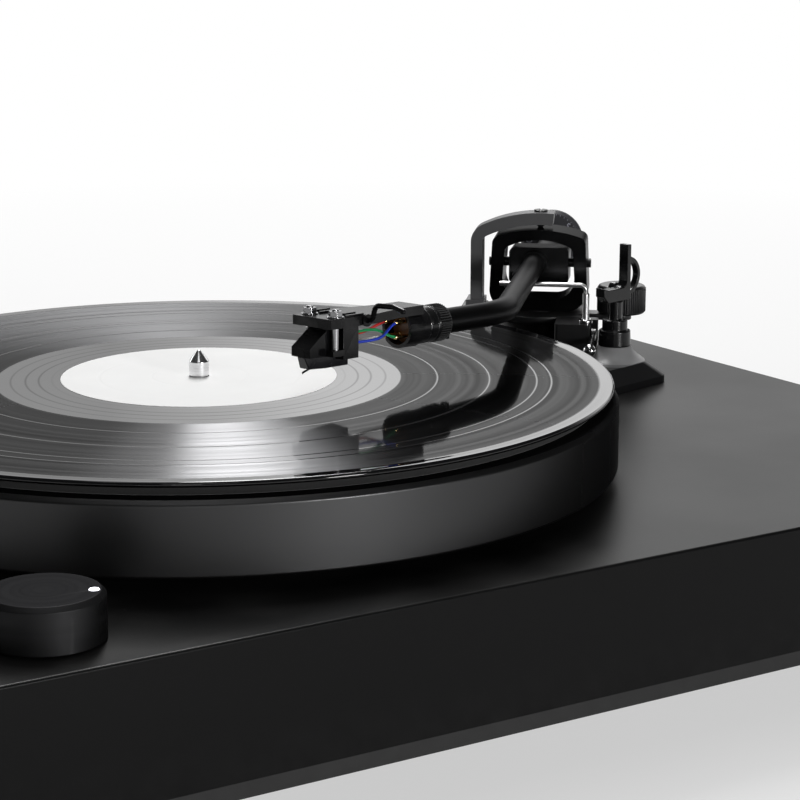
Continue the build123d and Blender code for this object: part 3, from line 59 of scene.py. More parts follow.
def fed(node, **sockets):
    """Links sockets to a node's inputs by their names, with _ for a space."""
    for label, socket in sockets.items():
        node.id_data.links.new(socket, node.inputs[label.replace("_", " ")])


def math_node(tree, operation, first, second=0.5, third=0.5):
    """Math node fed by sockets or by plain numbers; gives its output socket."""
    node = tree.nodes.new("ShaderNodeMath")
    node.operation = operation
    for slot, value in enumerate((first, second, third)):
        if isinstance(value, (int, float)):
            node.inputs[slot].default_value = value
        else:
            tree.links.new(value, node.inputs[slot])
    return node.outputs[0]


def remap(tree, value, low, high, to_low=0.0, to_high=1.0):
    """Clamped change of range; gives its output socket."""
    node = tree.nodes.new("ShaderNodeMapRange")
    fed(node, Value=value)
    for label, number in zip(("From Min", "From Max", "To Min", "To Max"), (low, high, to_low, to_high)):
        node.inputs[label].default_value = number
    return node.outputs["Result"]


def noise(tree, vector, scale, detail=2.0, dimensions="3D"):
    """Noise on a vector, or on one value; gives its output socket."""
    node = tree.nodes.new("ShaderNodeTexNoise")
    node.noise_dimensions = dimensions
    node.inputs["Detail"].default_value = detail
    tree.links.new(vector, node.inputs["W" if dimensions == "1D" else "Vector"])
    if isinstance(scale, (int, float)):
        node.inputs["Scale"].default_value = scale
    else:
        fed(node, Scale=scale)
    return node.outputs["Fac"]


def blended(tree, mask, first, second):
    """Mix of two colours by a mask; gives its output socket."""
    node = tree.nodes.new("ShaderNodeMix")
    node.data_type = "RGBA"
    for label, value in (("A", first), ("B", second)):
        socket = next(s for s in node.inputs if s.name == label and s.type == "RGBA")
        if isinstance(value, tuple):
            socket.default_value = (*value, 1.0)
        else:
            tree.links.new(value, socket)
    tree.links.new(mask, next(s for s in node.inputs if s.name == "Factor" and s.type == "VALUE"))
    return next(s for s in node.outputs if s.type == "RGBA")


def object_place(tree):
    """Vector socket with the object's own coordinates."""
    return tree.nodes.new("ShaderNodeTexCoord").outputs["Object"]


def split_up(tree, vector):
    """The X, Y and Z sockets of a vector, by name."""
    node = tree.nodes.new("ShaderNodeSeparateXYZ")
    fed(node, Vector=vector)
    return node.outputs


spray_grain, grain_in, grain_out = new_group(
    "spray_grain", "Shader", {"Size": "Float"}, {"Height": "Float", "Mottle": "Float"})
grain_at = object_place(spray_grain)
grain_scale = math_node(spray_grain, "DIVIDE", 1 / MM, grain_in.outputs["Size"])
fed(grain_out, Height=noise(spray_grain, grain_at, grain_scale, 3.0),
    Mottle=noise(spray_grain, grain_at, MOTTLE_PER_M, 5.0))

settled_dust, dust_in, dust_out = new_group("settled_dust", "Shader", {"Amount": "Float"}, {"Mask": "Float"})
dust_at = object_place(settled_dust)
dust_normal = settled_dust.nodes.new("ShaderNodeNewGeometry").outputs["Normal"]
dust_up = remap(settled_dust, split_up(settled_dust, dust_normal)["Z"], 0.6, 0.98)
dust_cells = settled_dust.nodes.new("ShaderNodeTexVoronoi")
dust_cells.inputs["Scale"].default_value = SPECKS_PER_M
fed(dust_cells, Vector=dust_at)
dust_specks = remap(settled_dust, dust_cells.outputs["Distance"], 0.05, 0.03)
dust_patches = remap(settled_dust, noise(settled_dust, dust_at, PATCHES_PER_M, 4.0), 0.42, 0.72)
dust_film = math_node(settled_dust, "MULTIPLY", dust_patches, 0.10)
dust_both = math_node(settled_dust, "MULTIPLY_ADD", dust_specks, 0.5, dust_film)
dust_lying = math_node(settled_dust, "MULTIPLY", dust_both, dust_up)
fed(dust_out, Mask=math_node(settled_dust, "MULTIPLY", dust_lying, dust_in.outputs["Amount"]))

# Edges lightened by pointiness: worn paint on painted parts, and a painted highlight on the edges of glossy
# mouldings.
worn_and_glinting_edges, edges_in, edges_out = new_group("worn_and_glinting_edges", "Shader", {"Amount": "Float"}, {"Mask": "Float"})
edge_pointiness = worn_and_glinting_edges.nodes.new("ShaderNodeNewGeometry").outputs["Pointiness"]
edge_sharpness = remap(worn_and_glinting_edges, edge_pointiness, 0.53, 0.62)
edge_breakup = remap(worn_and_glinting_edges, noise(worn_and_glinting_edges, object_place(worn_and_glinting_edges), CHIPS_PER_M, 4.0), 0.35, 0.7)
edge_mask = math_node(worn_and_glinting_edges, "MULTIPLY", edge_sharpness, edge_breakup)
fed(edges_out, Mask=math_node(worn_and_glinting_edges, "MULTIPLY", edge_mask, edges_in.outputs["Amount"]))


def placed_group(mat, tree, **values):
    """One of the shared effects placed in a material, with its own values."""
    node = mat.node_tree.nodes.new("ShaderNodeGroup")
    node.node_tree = tree
    for label, value in values.items():
        node.inputs[label].default_value = value
    return node


def bare_finish(name, colour, rough, **sockets):
    """Material with plain numbers on its shader's sockets; gives the material and the shader."""
    mat = bpy.data.materials.new(name)
    mat.use_nodes = True
    shader = mat.node_tree.nodes["Principled BSDF"]
    shader.inputs["Base Color"].default_value = (*colour, 1.0)
    shader.inputs["Roughness"].default_value = rough
    for label, value in sockets.items():
        shader.inputs[label.replace("_", " ")].default_value = value
    return mat, shader


def relief(shader, height, depth_mm):
    """Height led to the shader's normal through a bump of that depth; gives the bump."""
    bump = shader.id_data.nodes.new("ShaderNodeBump")
    bump.inputs["Distance"].default_value = depth_mm * MM
    fed(bump, Height=height)
    fed(shader, Normal=bump.outputs["Normal"])
    return bump


def coated(name, colour, rough, spread=0.08, grain=0.6, depth=0.004, dust=1.0, rub=0.35, rub_colour=EDGE_GREY,
           **sockets):
    """Sprayed, moulded or anodised finish with grain, a little dust and lightened edges: rubbed paint on painted
    parts, a painted highlight along the edges of glossy mouldings.
    """
    mat, shader = bare_finish(name, colour, rough, **sockets)
    tree = mat.node_tree
    surface = placed_group(mat, spray_grain, Size=grain)
    lying = placed_group(mat, settled_dust, Amount=dust).outputs["Mask"]
    edges = placed_group(mat, worn_and_glinting_edges, Amount=rub).outputs["Mask"]
    worn_and_glinting = blended(tree, edges, colour, rub_colour)
    varied = math_node(tree, "MULTIPLY_ADD", surface.outputs["Mottle"], 2 * spread, rough - spread)
    fed(shader, Base_Color=blended(tree, lying, worn_and_glinting, DUST_GREY),
        Roughness=math_node(tree, "MULTIPLY_ADD", lying, 0.5, varied))
    relief(shader, surface.outputs["Height"], depth)
    return mat


def linked(name, data):
    """Object for a mesh, a lamp or the like, linked to the scene."""
    obj = bpy.data.objects.new(name, data)
    bpy.context.scene.collection.objects.link(obj)
    return obj


def shown(name, mesh, mat, body, slot, *nodes):
    """Object for a finished mesh: dressed, riding on its body and standing for its CAD nodes."""
    mesh.materials.clear()
    mesh.materials.append(mat)
    obj = linked(name, mesh)
    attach(obj, body)
    if nodes:
        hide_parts(*nodes)


def settled_mesh(obj):
    """Plain mesh of an object with its modifiers applied; the object goes."""
    graph = bpy.context.evaluated_depsgraph_get()
    mesh = bpy.data.meshes.new_from_object(obj.evaluated_get(graph))
    old = obj.data
    bpy.data.objects.remove(obj)
    bpy.data.meshes.remove(old)
    return mesh


def evened_mesh(obj):
    """Plain mesh of an object, with its flat faces shaded flat between soft edges."""
    obj.data.shade_smooth()
    obj.modifiers.new("even", "WEIGHTED_NORMAL").weight = FLAT_FACES_FIRST
    return settled_mesh(obj)


def eased(name, node, ease_mm, mat, body, slot, steps=2, split=False):
    """CAD piece shown with its facets joined and its edges eased; split keeps wide openings open."""
    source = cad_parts[node].data
    mesh = bpy.data.meshes.new(node)
    mesh.from_pydata([v.co[:] for v in source.vertices], [], [p.vertices[:] for p in source.polygons])
    work = bmesh.new()
    work.from_mesh(mesh)
    bmesh.ops.remove_doubles(work, verts=work.verts, dist=2e-6)
    bmesh.ops.dissolve_limit(work, angle_limit=SAME_PLANE, verts=work.verts, edges=work.edges)
    if split:
        bmesh.ops.connect_verts_concave(work, faces=work.faces)
    work.to_mesh(mesh)
    work.free()
    obj = linked(node, mesh)
    bevel = obj.modifiers.new("ease", "BEVEL")
    bevel.width = ease_mm * MM
    bevel.segments = steps
    bevel.limit_method = "ANGLE"
    bevel.angle_limit = SHARP_CORNER
    bevel.miter_outer = "MITER_ARC"
    shown(name, evened_mesh(obj), mat, body, slot, node)


board_paint = coated(
    "board_paint", PAINT_BLACK, 0.36, spread=0.05, grain=0.9, depth=0.006, dust=0.5, Specular_IOR_Level=0.12)
eased("plinth_box", "plinth", 0.3, board_paint, "base", "board_black", split=True)

# Bottom cover: a thin board that closes the plinth from below, painted matt.
# Ten pan-head screws hold it to the plinth's walls.
COVER_LOW = 22.0
COVER_HALF_X, COVER_HALF_Y = 223.5, 174.5
SCREW_INSET, SIDE_SCREW_Y = 12.0, 60.0
SCREW_HEAD_R, SCREW_HEAD_H = 3.6, 2.0
UP, DOWN = (0, 0, 1), (0, 0, -1)
ON_AXIS, NEARLY_STRAIGHT = 1e-6, math.radians(168)
ROUND_STEPS = 4
cover_paint = coated("cover_paint", (0.011, 0.011, 0.011), 0.62, grain=1.4, depth=0.01, dust=0.2)
eased("cover_board", "bottom_cover", 0.4, cover_paint, "base", "cover_black")


def rounded_profile(profile, ease):
    """Closed (radius, height) outline with its corners rounded, those on the axis kept."""
    rounded = []
    for index, point in enumerate(profile):
        here = Vector(point)
        before = Vector(profile[index - 1]) - here
        after = Vector(profile[(index + 1) % len(profile)]) - here
        short = min(before.length, after.length) < ON_AXIS
        if here.x < ON_AXIS or short or before.angle(after) > NEARLY_STRAIGHT:
            rounded.append(here)
            continue
        cut = min(ease, 0.45 * before.length, 0.45 * after.length)
        start = here + before.normalized() * cut
        end = here + after.normalized() * cut
        for step in range(ROUND_STEPS + 1):
            share = step / ROUND_STEPS
            rounded.append(start * (1 - share) ** 2 + here * 2 * share * (1 - share) + end * share**2)
    return rounded


def mesh_of(name, work):
    """Mesh of a finished bmesh, which goes."""
    mesh = bpy.data.meshes.new(name)
    work.to_mesh(mesh)
    work.free()
    return mesh


def turned_mesh(name, profile, place=Matrix(), ease=0.3, around=96):
    """Mesh of a turned piece from a closed outline in millimetres, at its place in metres."""
    work = bmesh.new()
    rings = []
    for point in rounded_profile(profile, ease):
        ring = []
        for index in range(1 if point.x < ON_AXIS else around):
            angle = 2 * math.pi * index / around
            spot = Vector((point.x * math.cos(angle), point.x * math.sin(angle), point.y))
            ring.append(work.verts.new(place @ (spot * MM)))
        rings.append(ring)
    for ring, following in zip(rings, rings[1:] + rings[:1]):
        if len(ring) == 1 and len(following) == 1:
            continue
        for index in range(around):
            step = (index + 1) % around
            corners = [ring[index % len(ring)], following[index % len(following)]]
            corners += [following[step % len(following)], ring[step % len(ring)]]
            work.faces.new(list(dict.fromkeys(corners)))
    bmesh.ops.recalc_face_normals(work, faces=work.faces)
    return evened_mesh(linked(name, mesh_of(name, work)))


def turned(name, profile, place, mat, body, slot, *nodes, ease=0.3, around=96):
    """Turned piece, shown at its place."""
    shown(name, turned_mesh(name, profile, place, ease, around), mat, body, slot, *nodes)


def joined_mesh(name, meshes):
    """One mesh from several."""
    work = bmesh.new()
    for mesh in meshes:
        work.from_mesh(mesh)
    return mesh_of(name, work)


def sharpened(mesh, degrees):
    """Mesh shaded smooth, but for edges sharper than an angle."""
    mesh.shade_smooth()
    mesh.set_sharp_from_angle(angle=math.radians(degrees))
    return mesh


def cross_head(name, radius, height):
    """Pan head with a cross recess, its seat at height zero."""
    profile = [(0, 0), (radius, 0), (radius, 0.45 * height), (0.72 * radius, 0.9 * height), (0, height)]
    head = linked(name, turned_mesh(name, profile, around=24))
    cutters = []
    for length, width in ((1.1 * radius, 0.3 * radius), (0.3 * radius, 1.1 * radius)):
        work = bmesh.new()
        bmesh.ops.create_cube(work, size=1.0)
        bmesh.ops.scale(work, vec=(length * MM, width * MM, height * MM), verts=work.verts)
        bmesh.ops.translate(work, vec=(0, 0, height * MM), verts=work.verts)
        cutters.append(linked("recess", mesh_of("recess", work)))
        cut = head.modifiers.new("recess", "BOOLEAN")
        cut.operation = "DIFFERENCE"
        cut.object = cutters[-1]
    done = settled_mesh(head)
    for cutter in cutters:
        bpy.data.objects.remove(cutter)
    return sharpened(done, 30)


def wired(*joins):
    """Links between nodes, each given as node, output, node, input."""
    for source, out, target, into in joins:
        source.id_data.links.new(source.outputs[out], target.inputs[into])


placed_at_points, points_in, points_out = new_group(
    "placed_at_points", "Geometry", {"Geometry": "Geometry", "Piece": "Object", "Finish": "Material"},
    {"Geometry": "Geometry"})
points_source = placed_at_points.nodes.new("GeometryNodeObjectInfo")
points_spread = placed_at_points.nodes.new("GeometryNodeInstanceOnPoints")
points_turn = placed_at_points.nodes.new("FunctionNodeAlignRotationToVector")
points_facing = placed_at_points.nodes.new("GeometryNodeInputNamedAttribute")
points_facing.data_type = "FLOAT_VECTOR"
points_facing.inputs["Name"].default_value = "facing"
points_real = placed_at_points.nodes.new("GeometryNodeRealizeInstances")
points_finish = placed_at_points.nodes.new("GeometryNodeSetMaterial")
wired((points_in, "Geometry", points_spread, "Points"),
      (points_in, "Piece", points_source, "Object"),
      (points_source, "Geometry", points_spread, "Instance"),
      (points_facing, "Attribute", points_turn, "Vector"),
      (points_turn, "Rotation", points_spread, "Rotation"),
      (points_spread, "Instances", points_real, "Geometry"),
      (points_real, "Geometry", points_finish, "Geometry"),
      (points_in, "Finish", points_finish, "Material"),
      (points_finish, "Geometry", points_out, "Geometry"))


def with_tree(name, mesh, tree, values):
    """Mesh that a node tree makes from another mesh, with the tree's inputs set by name."""
    carrier = linked(name, mesh)
    modifier = carrier.modifiers.new("tree", "NODES")
    modifier.node_group = tree
    for item in tree.interface.items_tree:
        if item.in_out == "INPUT" and item.name in values:
            modifier[item.identifier] = values[item.name]
    return settled_mesh(carrier)


def repeated_mesh(name, piece_mesh, spots, ways, mat, place=Matrix()):
    """Mesh of one shape set at spots, in millimetres, its Z axis along each spot's way."""
    piece = linked(name + "_one", piece_mesh)
    points = bpy.data.meshes.new(name)
    points.from_pydata([Vector(spot) * MM for spot in spots], [], [])
    facing = points.attributes.new("facing", "FLOAT_VECTOR", "POINT")
    for item, way in zip(facing.data, ways):
        item.vector = way
    mesh = with_tree(name, points, placed_at_points, {"Piece": piece, "Finish": mat})
    bpy.data.objects.remove(piece)
    mesh.transform(place)
    return mesh


def repeated(name, piece_mesh, spots, ways, mat, body, slot, *nodes, place=Matrix()):
    """One shape set at several spots, shown as one piece."""
    shown(name, repeated_mesh(name, piece_mesh, spots, ways, mat, place), mat, body, slot, *nodes)


screw_steel = coated(
    "screw_steel", (0.30, 0.30, 0.31), 0.34, grain=0.3, depth=0.002, dust=0.3, Metallic=1.0)
cover_x, cover_y = COVER_HALF_X - SCREW_INSET, COVER_HALF_Y - SCREW_INSET
cover_spots = [(x, y, COVER_LOW) for x in (-cover_x, 0.0, cover_x) for y in (-cover_y, cover_y)]
cover_spots += [(x, y, COVER_LOW) for x in (-cover_x, cover_x) for y in (-SIDE_SCREW_Y, SIDE_SCREW_Y)]
cover_head = cross_head("cover_head", SCREW_HEAD_R, SCREW_HEAD_H)
repeated("cover_screws", cover_head, cover_spots, [DOWN] * len(cover_spots), screw_steel, "base", "steel")

# Feet: four turned plastic feet with a narrower neck, screwed up into the bottom cover.
# A ribbed rubber disc under each one stops the player from sliding.
FOOT_X, FOOT_Y = 185, 136
FOOT_OUTLINE = [(0, 3), (22, 3), (24, 5), (24, 16), (22, 18), (17, 18), (17, 22), (0, 22)]
PAD_OUTLINE = [(0, 0.4), (12, 0.4), (12.6, 0), (15.4, 0), (16, 0.4), (16.6, 0), (19.4, 0), (20, 0.6), (20, 3), (0, 3)]
foot_plastic = coated("foot_plastic", (0.010, 0.010, 0.010), 0.48, grain=0.5, depth=0.005, dust=0.5)
pad_rubber = coated("pad_rubber", (0.014, 0.014, 0.014), 0.82, grain=0.8, depth=0.012, dust=0.2, rub=0.1)
foot_spots = [(-FOOT_X, -FOOT_Y, 0.0), (FOOT_X, -FOOT_Y, 0.0), (FOOT_X, FOOT_Y, 0.0), (-FOOT_X, FOOT_Y, 0.0)]
one_foot = turned_mesh("foot", FOOT_OUTLINE, ease=0.8)
one_pad = turned_mesh("pad", PAD_OUTLINE, ease=0.25, around=72)
repeated("turned_feet", one_foot, foot_spots, [UP] * 4, foot_plastic, "base", "foot_black", "feet")
repeated("ribbed_pads", one_pad, foot_spots, [UP] * 4, pad_rubber, "base", "rubber_black", "foot_pads")

# Main bearing: a flanged steel cup that hangs through the deck, with a bronze bush in it.
# The spindle's end stands on a slippery white pad at the bottom of the cup.
SPINDLE_X = -60.0
MARK_DEPTH, GLOSS_SPREAD = 0.002, 0.08
turned_lines, lines_in, lines_out = new_group(
    "turned_lines", "Shader", {"Place": "Vector", "Pitch": "Float"}, {"Height": "Float", "Tone": "Float"})


def from_axis(tree, vector):
    """The sockets of a vector's parts, and of its distance from the Z axis."""
    parts = split_up(tree, vector)
    square = math_node(tree, "MULTIPLY", parts["X"], parts["X"])
    square = math_node(tree, "MULTIPLY_ADD", parts["Y"], parts["Y"], square)
    return parts, math_node(tree, "SQRT", square)


lines_parts, lines_r = from_axis(turned_lines, lines_in.outputs["Place"])
lines_along = math_node(turned_lines, "ADD", lines_r, lines_parts["Z"])
lines_scale = math_node(turned_lines, "DIVIDE", 1 / MM, lines_in.outputs["Pitch"])
slow_scale = math_node(turned_lines, "MULTIPLY", lines_scale, 0.13)
fed(lines_out, Height=noise(turned_lines, lines_along, lines_scale, 3.0, "1D"),
    Tone=noise(turned_lines, lines_along, slow_scale, 2.0, "1D"))


def at(x, y, z=0.0):
    """Shift by millimetres."""
    return Matrix.Translation((x * MM, y * MM, z * MM))


def spun(degrees, axis):
    """Turn about one axis."""
    return Matrix.Rotation(math.radians(degrees), 4, axis)


def local_place(mat, place):
    """Vector socket with a piece's own coordinates, its axis along Z."""
    mapping = mat.node_tree.nodes.new("ShaderNodeMapping")
    mapping.vector_type = "TEXTURE"
    mapping.inputs["Location"].default_value = place.to_translation()
    mapping.inputs["Rotation"].default_value = place.to_euler()
    fed(mapping, Vector=object_place(mat.node_tree))
    return mapping.outputs["Vector"]


def tool_marks(mat, place, pitch):
    """Outputs of the tool marks round a piece's axis."""
    lines = placed_group(mat, turned_lines, Pitch=pitch)
    fed(lines, Place=local_place(mat, place))
    return lines.outputs


def lathe_metal(name, colour, rough, place, pitch):
    """Turned metal: fine tool marks round the axis and slow changes of gloss between them."""
    mat, shader = bare_finish(name, colour, rough, Metallic=1.0)
    tree = mat.node_tree
    lines = tool_marks(mat, place, pitch)
    darker = tuple(0.8 * value for value in colour)
    fed(shader, Base_Color=blended(tree, lines["Tone"], colour, darker),
        Roughness=math_node(tree, "MULTIPLY_ADD", lines["Tone"], 2 * GLOSS_SPREAD, rough - GLOSS_SPREAD))
    relief(shader, lines["Height"], MARK_DEPTH)
    return mat


def dressed(mat, *nodes):
    """CAD pieces whose shape is right, given a finish."""
    for node in nodes:
        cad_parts[node].material_slots[0].material = mat


spindle_axis = at(SPINDLE_X, 0)
bearing_steel = lathe_metal("bearing_steel", (0.42, 0.42, 0.43), 0.32, spindle_axis, 0.4)
bush_bronze = lathe_metal("bush_bronze", (0.62, 0.40, 0.19), 0.34, spindle_axis, 0.4)
pad_nylon = coated("pad_nylon", (0.74, 0.74, 0.70), 0.45, dust=0.0, rub_colour=(0.8, 0.8, 0.8))
dressed(bearing_steel, "bearing_housing")
dressed(bush_bronze, "bearing_bush")
dressed(pad_nylon, "thrust_pad")
dressed(screw_steel, "deck_screws")

# Motor and belt: a round motor hangs in its hole from a steel plate, and a brass pulley on
# its shaft drives a flat rubber belt round the ring under the platter.
motor_axis = at(-143.44, 83.44)
motor_zinc = coated("motor_zinc", (0.30, 0.30, 0.31), 0.38, grain=0.4, dust=0.3, Metallic=0.9)
pulley_brass = lathe_metal("pulley_brass", (0.72, 0.52, 0.22), 0.26, motor_axis, 0.3)
belt_rubber = coated("belt_rubber", (0.012, 0.012, 0.012), 0.66, grain=0.3, depth=0.006, dust=0.2, rub=0.0)
dressed(screw_steel, "motor_plate")
dressed(motor_zinc, "motor")
dressed(pulley_brass, "motor_pulley")
dressed(belt_rubber, "drive_belt")

# Switch and board: a rotary switch under the knob, and the control board on posts inside.
# The board is green lacquered laminate; nothing of them shows with the cover on.
inner_plastic = coated("inner_plastic", (0.016, 0.016, 0.016), 0.55, grain=0.5, dust=0.1)
board_lacquer = coated(
    "board_lacquer", (0.012, 0.085, 0.032), 0.30, grain=2.0, depth=0.01, dust=0.1, rub_colour=(0.3, 0.3, 0.2))
dressed(inner_plastic, "rotary_switch")
dressed(board_lacquer, "control_board")

# Rear panel: a black moulded plate in a recess of the back wall, with gilt phono jacks, a
# ground post with a knurled nut, a slide switch, and the power inlet on its own flange.
PANEL_PLACE = at(35, 164, 50) @ spun(-90, "X")
JACK_X, GROUND_X = (-18.0, 0.0), 24.0
JACK_OUTLINE = [(1.6, 3.2), (1.6, 10.5), (4.15, 10.5), (4.15, 3.2), (6.0, 3.2), (6.0, 2.0), (3.0, 2.0), (3.0, -4.0),
                (0, -4.0), (0, 3.2)]
JACK_RING = [(1.6, 10.2), (1.6, 10.58), (3.3, 10.58), (3.3, 10.2)]
RING_TONES = {"left": (0.80, 0.80, 0.78), "right": (0.46, 0.02, 0.02)}
NUT_OUTLINE = [(0, -2), (2, -2), (2, 2), (4.6, 2), (4.6, 8), (2, 8), (2, 10), (0, 10)]
panel_plastic = coated("panel_plastic", (0.030, 0.030, 0.031), 0.52, grain=0.45, depth=0.01, dust=0.3)
eased("panel_plate", "rear_panel", 0.3, panel_plastic, "base", "plastic_black")
eased("inlet_block", "dc_inlet", 0.35, panel_plastic, "base", "plastic_black")
eased("switch_slider", "output_switch", 0.3, panel_plastic, "slider", "plastic_black")
jack_gilt = lathe_metal("jack_gilt", (0.78, 0.56, 0.24), 0.24, PANEL_PLACE, 0.5)
jack_places = [PANEL_PLACE @ at(x, 0) for x in JACK_X]
jack_meshes = [turned_mesh("jack", JACK_OUTLINE, place, ease=0.25, around=64) for place in jack_places]
shown("gilt_jacks", joined_mesh("gilt_jacks", jack_meshes), jack_gilt, "base", "brass", "rca_jacks")
for place, (side, tone) in zip(jack_places, RING_TONES.items()):
    ring_plastic = coated(f"jack_{side}_plastic", tone, 0.4, grain=0.4, dust=0.2, rub=0.0)
    turned(f"jack_ring_{side}", JACK_RING, place, ring_plastic, "base", "plastic_black", ease=0.1, around=64)


def ribbed(name, place, radius, rib_r, low, high, count, mat, body, slot):
    """Upright ribs round a turned grip, shown at its place."""
    half = (high - low) / 2
    rib = turned_mesh(
        name + "_rib", [(0, -half), (rib_r, -half), (rib_r, half), (0, half)], ease=0.3 * rib_r, around=6)
    angles = [2 * math.pi * index / count for index in range(count)]
    spots = [(radius * math.cos(a), radius * math.sin(a), (low + high) / 2) for a in angles]
    mesh = repeated_mesh(name, rib, spots, [UP] * count, mat, place)
    shown(name, sharpened(mesh, 50), mat, body, slot)


nut_axis = PANEL_PLACE @ at(GROUND_X, 0)
ground_steel = lathe_metal("ground_steel", (0.55, 0.55, 0.56), 0.28, nut_axis, 0.3)
turned("ground_nut", NUT_OUTLINE, nut_axis, ground_steel, "base", "steel", "ground_post", around=64)
ribbed("ground_nut_ribs", nut_axis, 4.6, 0.4, 2.4, 7.6, 36, ground_steel, "base", "steel")

# Platter: a heavy dish turned from cast alloy and coated satin black, with a drive ring
# under its web and a thin felt mat on top; its taper hub sits on the spindle.
PLATTER_OUTLINE = [
    (5.02, 79.0), (24, 79.0), (24, 93.1), (138, 93.1), (138, 77.1), (151.7, 77.1), (152.5, 77.9),
    (152.5, 100.6), (151.0, 102.1), (3.62, 102.1), (3.62, 99.1), (5.02, 99.1)]
MAT_OUTLINE = [(3.62, 102.1), (146.0, 102.1), (146.0, 105.5), (3.62, 105.5)]
DULL_AT_GRAZING = (0.15, 0.15, 0.15, 1.0)
FIBRES_PER_M = 1900.0
platter_coat = coated(
    "platter_coat", (0.072, 0.072, 0.073), 0.39, spread=0.03, grain=0.35, depth=0.002, dust=0.1, rub=0.2,
    Metallic=1.0, Specular_Tint=DULL_AT_GRAZING)
turned("platter_dish", PLATTER_OUTLINE, spindle_axis, platter_coat, "platter_set", "platter_black", "platter",
       ease=0.5, around=320)
dressed(inner_plastic, "drive_ring")
mat_felt, felt_shader = bare_finish(
    "mat_felt", (0.012, 0.012, 0.012), 0.92, Sheen_Weight=0.25, Sheen_Roughness=0.5)
felt_tree = mat_felt.node_tree
felt_fibres = noise(felt_tree, object_place(felt_tree), FIBRES_PER_M, 6.0)
fed(felt_shader, Base_Color=blended(felt_tree, felt_fibres, (0.008, 0.008, 0.008), (0.022, 0.022, 0.022)))
relief(felt_shader, felt_fibres, 0.08)
turned("felt_mat", MAT_OUTLINE, spindle_axis, mat_felt, "platter_set", "felt_black", "platter_mat",
       ease=0.8, around=256)

# Record: a pressed black disc with a thick middle and rim. Its grooved bands scatter light
# round the disc, and the gaps between tracks, the run-out and the lead-in stay smooth.
RECORD_OUTLINE = [
    (3.62, 105.6), (52, 105.6), (54, 105.85), (144.5, 105.85), (147.5, 105.6), (149.9, 105.6), (150.5, 106.2),
    (150.5, 106.8), (149.9, 107.4), (147.5, 107.4), (144.5, 107.15), (54, 107.15), (52, 107.4), (3.62, 107.4)]
RUN_OUT_R, LEAD_IN_R, DISC_R = 73.5, 145.2, 151.0
TRACK_GAPS = [86.5, 105.5, 122.5, 128.0]
GAP_HALF, GAP_FADE = 0.2, 0.2
RUN_OUT_LINES = [53.2, 57.6, 62.4, 67.6]
LINE_WIDTH, LINE_FADE = 0.2, 0.15
VINYL_BLACK, WALL_GREY = (0.005, 0.005, 0.0055), (0.100, 0.100, 0.102)
GROOVES_PER_M, BANDS_PER_M = 2600.0, 260.0
WALL_LEAN = 0.34


def bands_by_radius(tree, radius, lands, fade):
    """Ramp over the disc's radius that is white on the given lands and black between them."""
    ramp = tree.nodes.new("ShaderNodeValToRGB")
    fed(ramp, Fac=math_node(tree, "DIVIDE", radius, DISC_R * MM))
    stops = []
    for start, end in lands:
        stops += [(start - fade, 0.0), (start, 1.0), (end, 1.0), (end + fade, 0.0)]
    stops = [(min(max(place / DISC_R, 0.0), 1.0), level) for place, level in stops]
    while len(ramp.color_ramp.elements) < len(stops):
        ramp.color_ramp.elements.new(0.5)
    for element, (place, level) in zip(ramp.color_ramp.elements, stops):
        element.position = place
    for element, (place, level) in zip(ramp.color_ramp.elements, stops):
        element.color = (level, level, level, 1.0)
    return ramp.outputs["Color"]


vinyl, vinyl_shader = bare_finish(
    "vinyl", VINYL_BLACK, 0.2, Anisotropic=0.95, Anisotropic_Rotation=0.25, Specular_IOR_Level=0.0,
    Specular_Tint=(0.12, 0.12, 0.12, 1.0), Coat_IOR=1.54)
vinyl_tree = vinyl.node_tree
vinyl_tangent = vinyl_tree.nodes.new("ShaderNodeTangent")
vinyl_tangent.direction_type = "RADIAL"
vinyl_tangent.axis = "Z"
vinyl_parts, vinyl_r = from_axis(vinyl_tree, local_place(vinyl, spindle_axis))
vinyl_lands = [(0.0, RUN_OUT_R)] + [(gap - GAP_HALF, gap + GAP_HALF) for gap in TRACK_GAPS] + [(LEAD_IN_R, DISC_R)]
land_mask = bands_by_radius(vinyl_tree, vinyl_r, vinyl_lands, GAP_FADE)
line_mask = bands_by_radius(vinyl_tree, vinyl_r, [(line, line + LINE_WIDTH) for line in RUN_OUT_LINES], LINE_FADE)
groove_fine = noise(vinyl_tree, vinyl_r, GROOVES_PER_M, 3.0, "1D")
groove_bands = noise(vinyl_tree, vinyl_r, BANDS_PER_M, 4.0, "1D")
grooved = math_node(vinyl_tree, "SUBTRACT", 1.0, land_mask)
land_share = remap(vinyl_tree, groove_bands, 0.3, 0.7, 0.18, 0.29)
flat_share = math_node(vinyl_tree, "MAXIMUM", land_mask, land_share)
fed(vinyl_shader, Tangent=vinyl_tangent.outputs["Tangent"], Metallic=grooved,
    Base_Color=blended(vinyl_tree, grooved, VINYL_BLACK, WALL_GREY),
    Roughness=remap(vinyl_tree, groove_bands, 0.3, 0.7, 0.29, 0.37),
    Coat_Weight=math_node(vinyl_tree, "MULTIPLY_ADD", line_mask, -0.35, flat_share),
    Coat_Roughness=remap(vinyl_tree, land_mask, 0.0, 1.0, 0.055, 0.05))
wall_lean = vinyl_tree.nodes.new("ShaderNodeCombineXYZ")
wall_lean.inputs["Z"].default_value = 1.0
for label in ("X", "Y"):
    outward = math_node(vinyl_tree, "DIVIDE", vinyl_parts[label], vinyl_r)
    fed(wall_lean, **{label: math_node(vinyl_tree, "MULTIPLY", outward, WALL_LEAN)})
wall_normal = vinyl_tree.nodes.new("ShaderNodeVectorTransform")
wall_normal.vector_type = "NORMAL"
wall_normal.convert_from = "OBJECT"
wall_normal.convert_to = "WORLD"
fed(wall_normal, Vector=wall_lean.outputs["Vector"])
wall_bump = relief(vinyl_shader, math_node(vinyl_tree, "MULTIPLY", groove_fine, grooved), 0.003)
fed(wall_bump, Normal=wall_normal.outputs["Vector"])
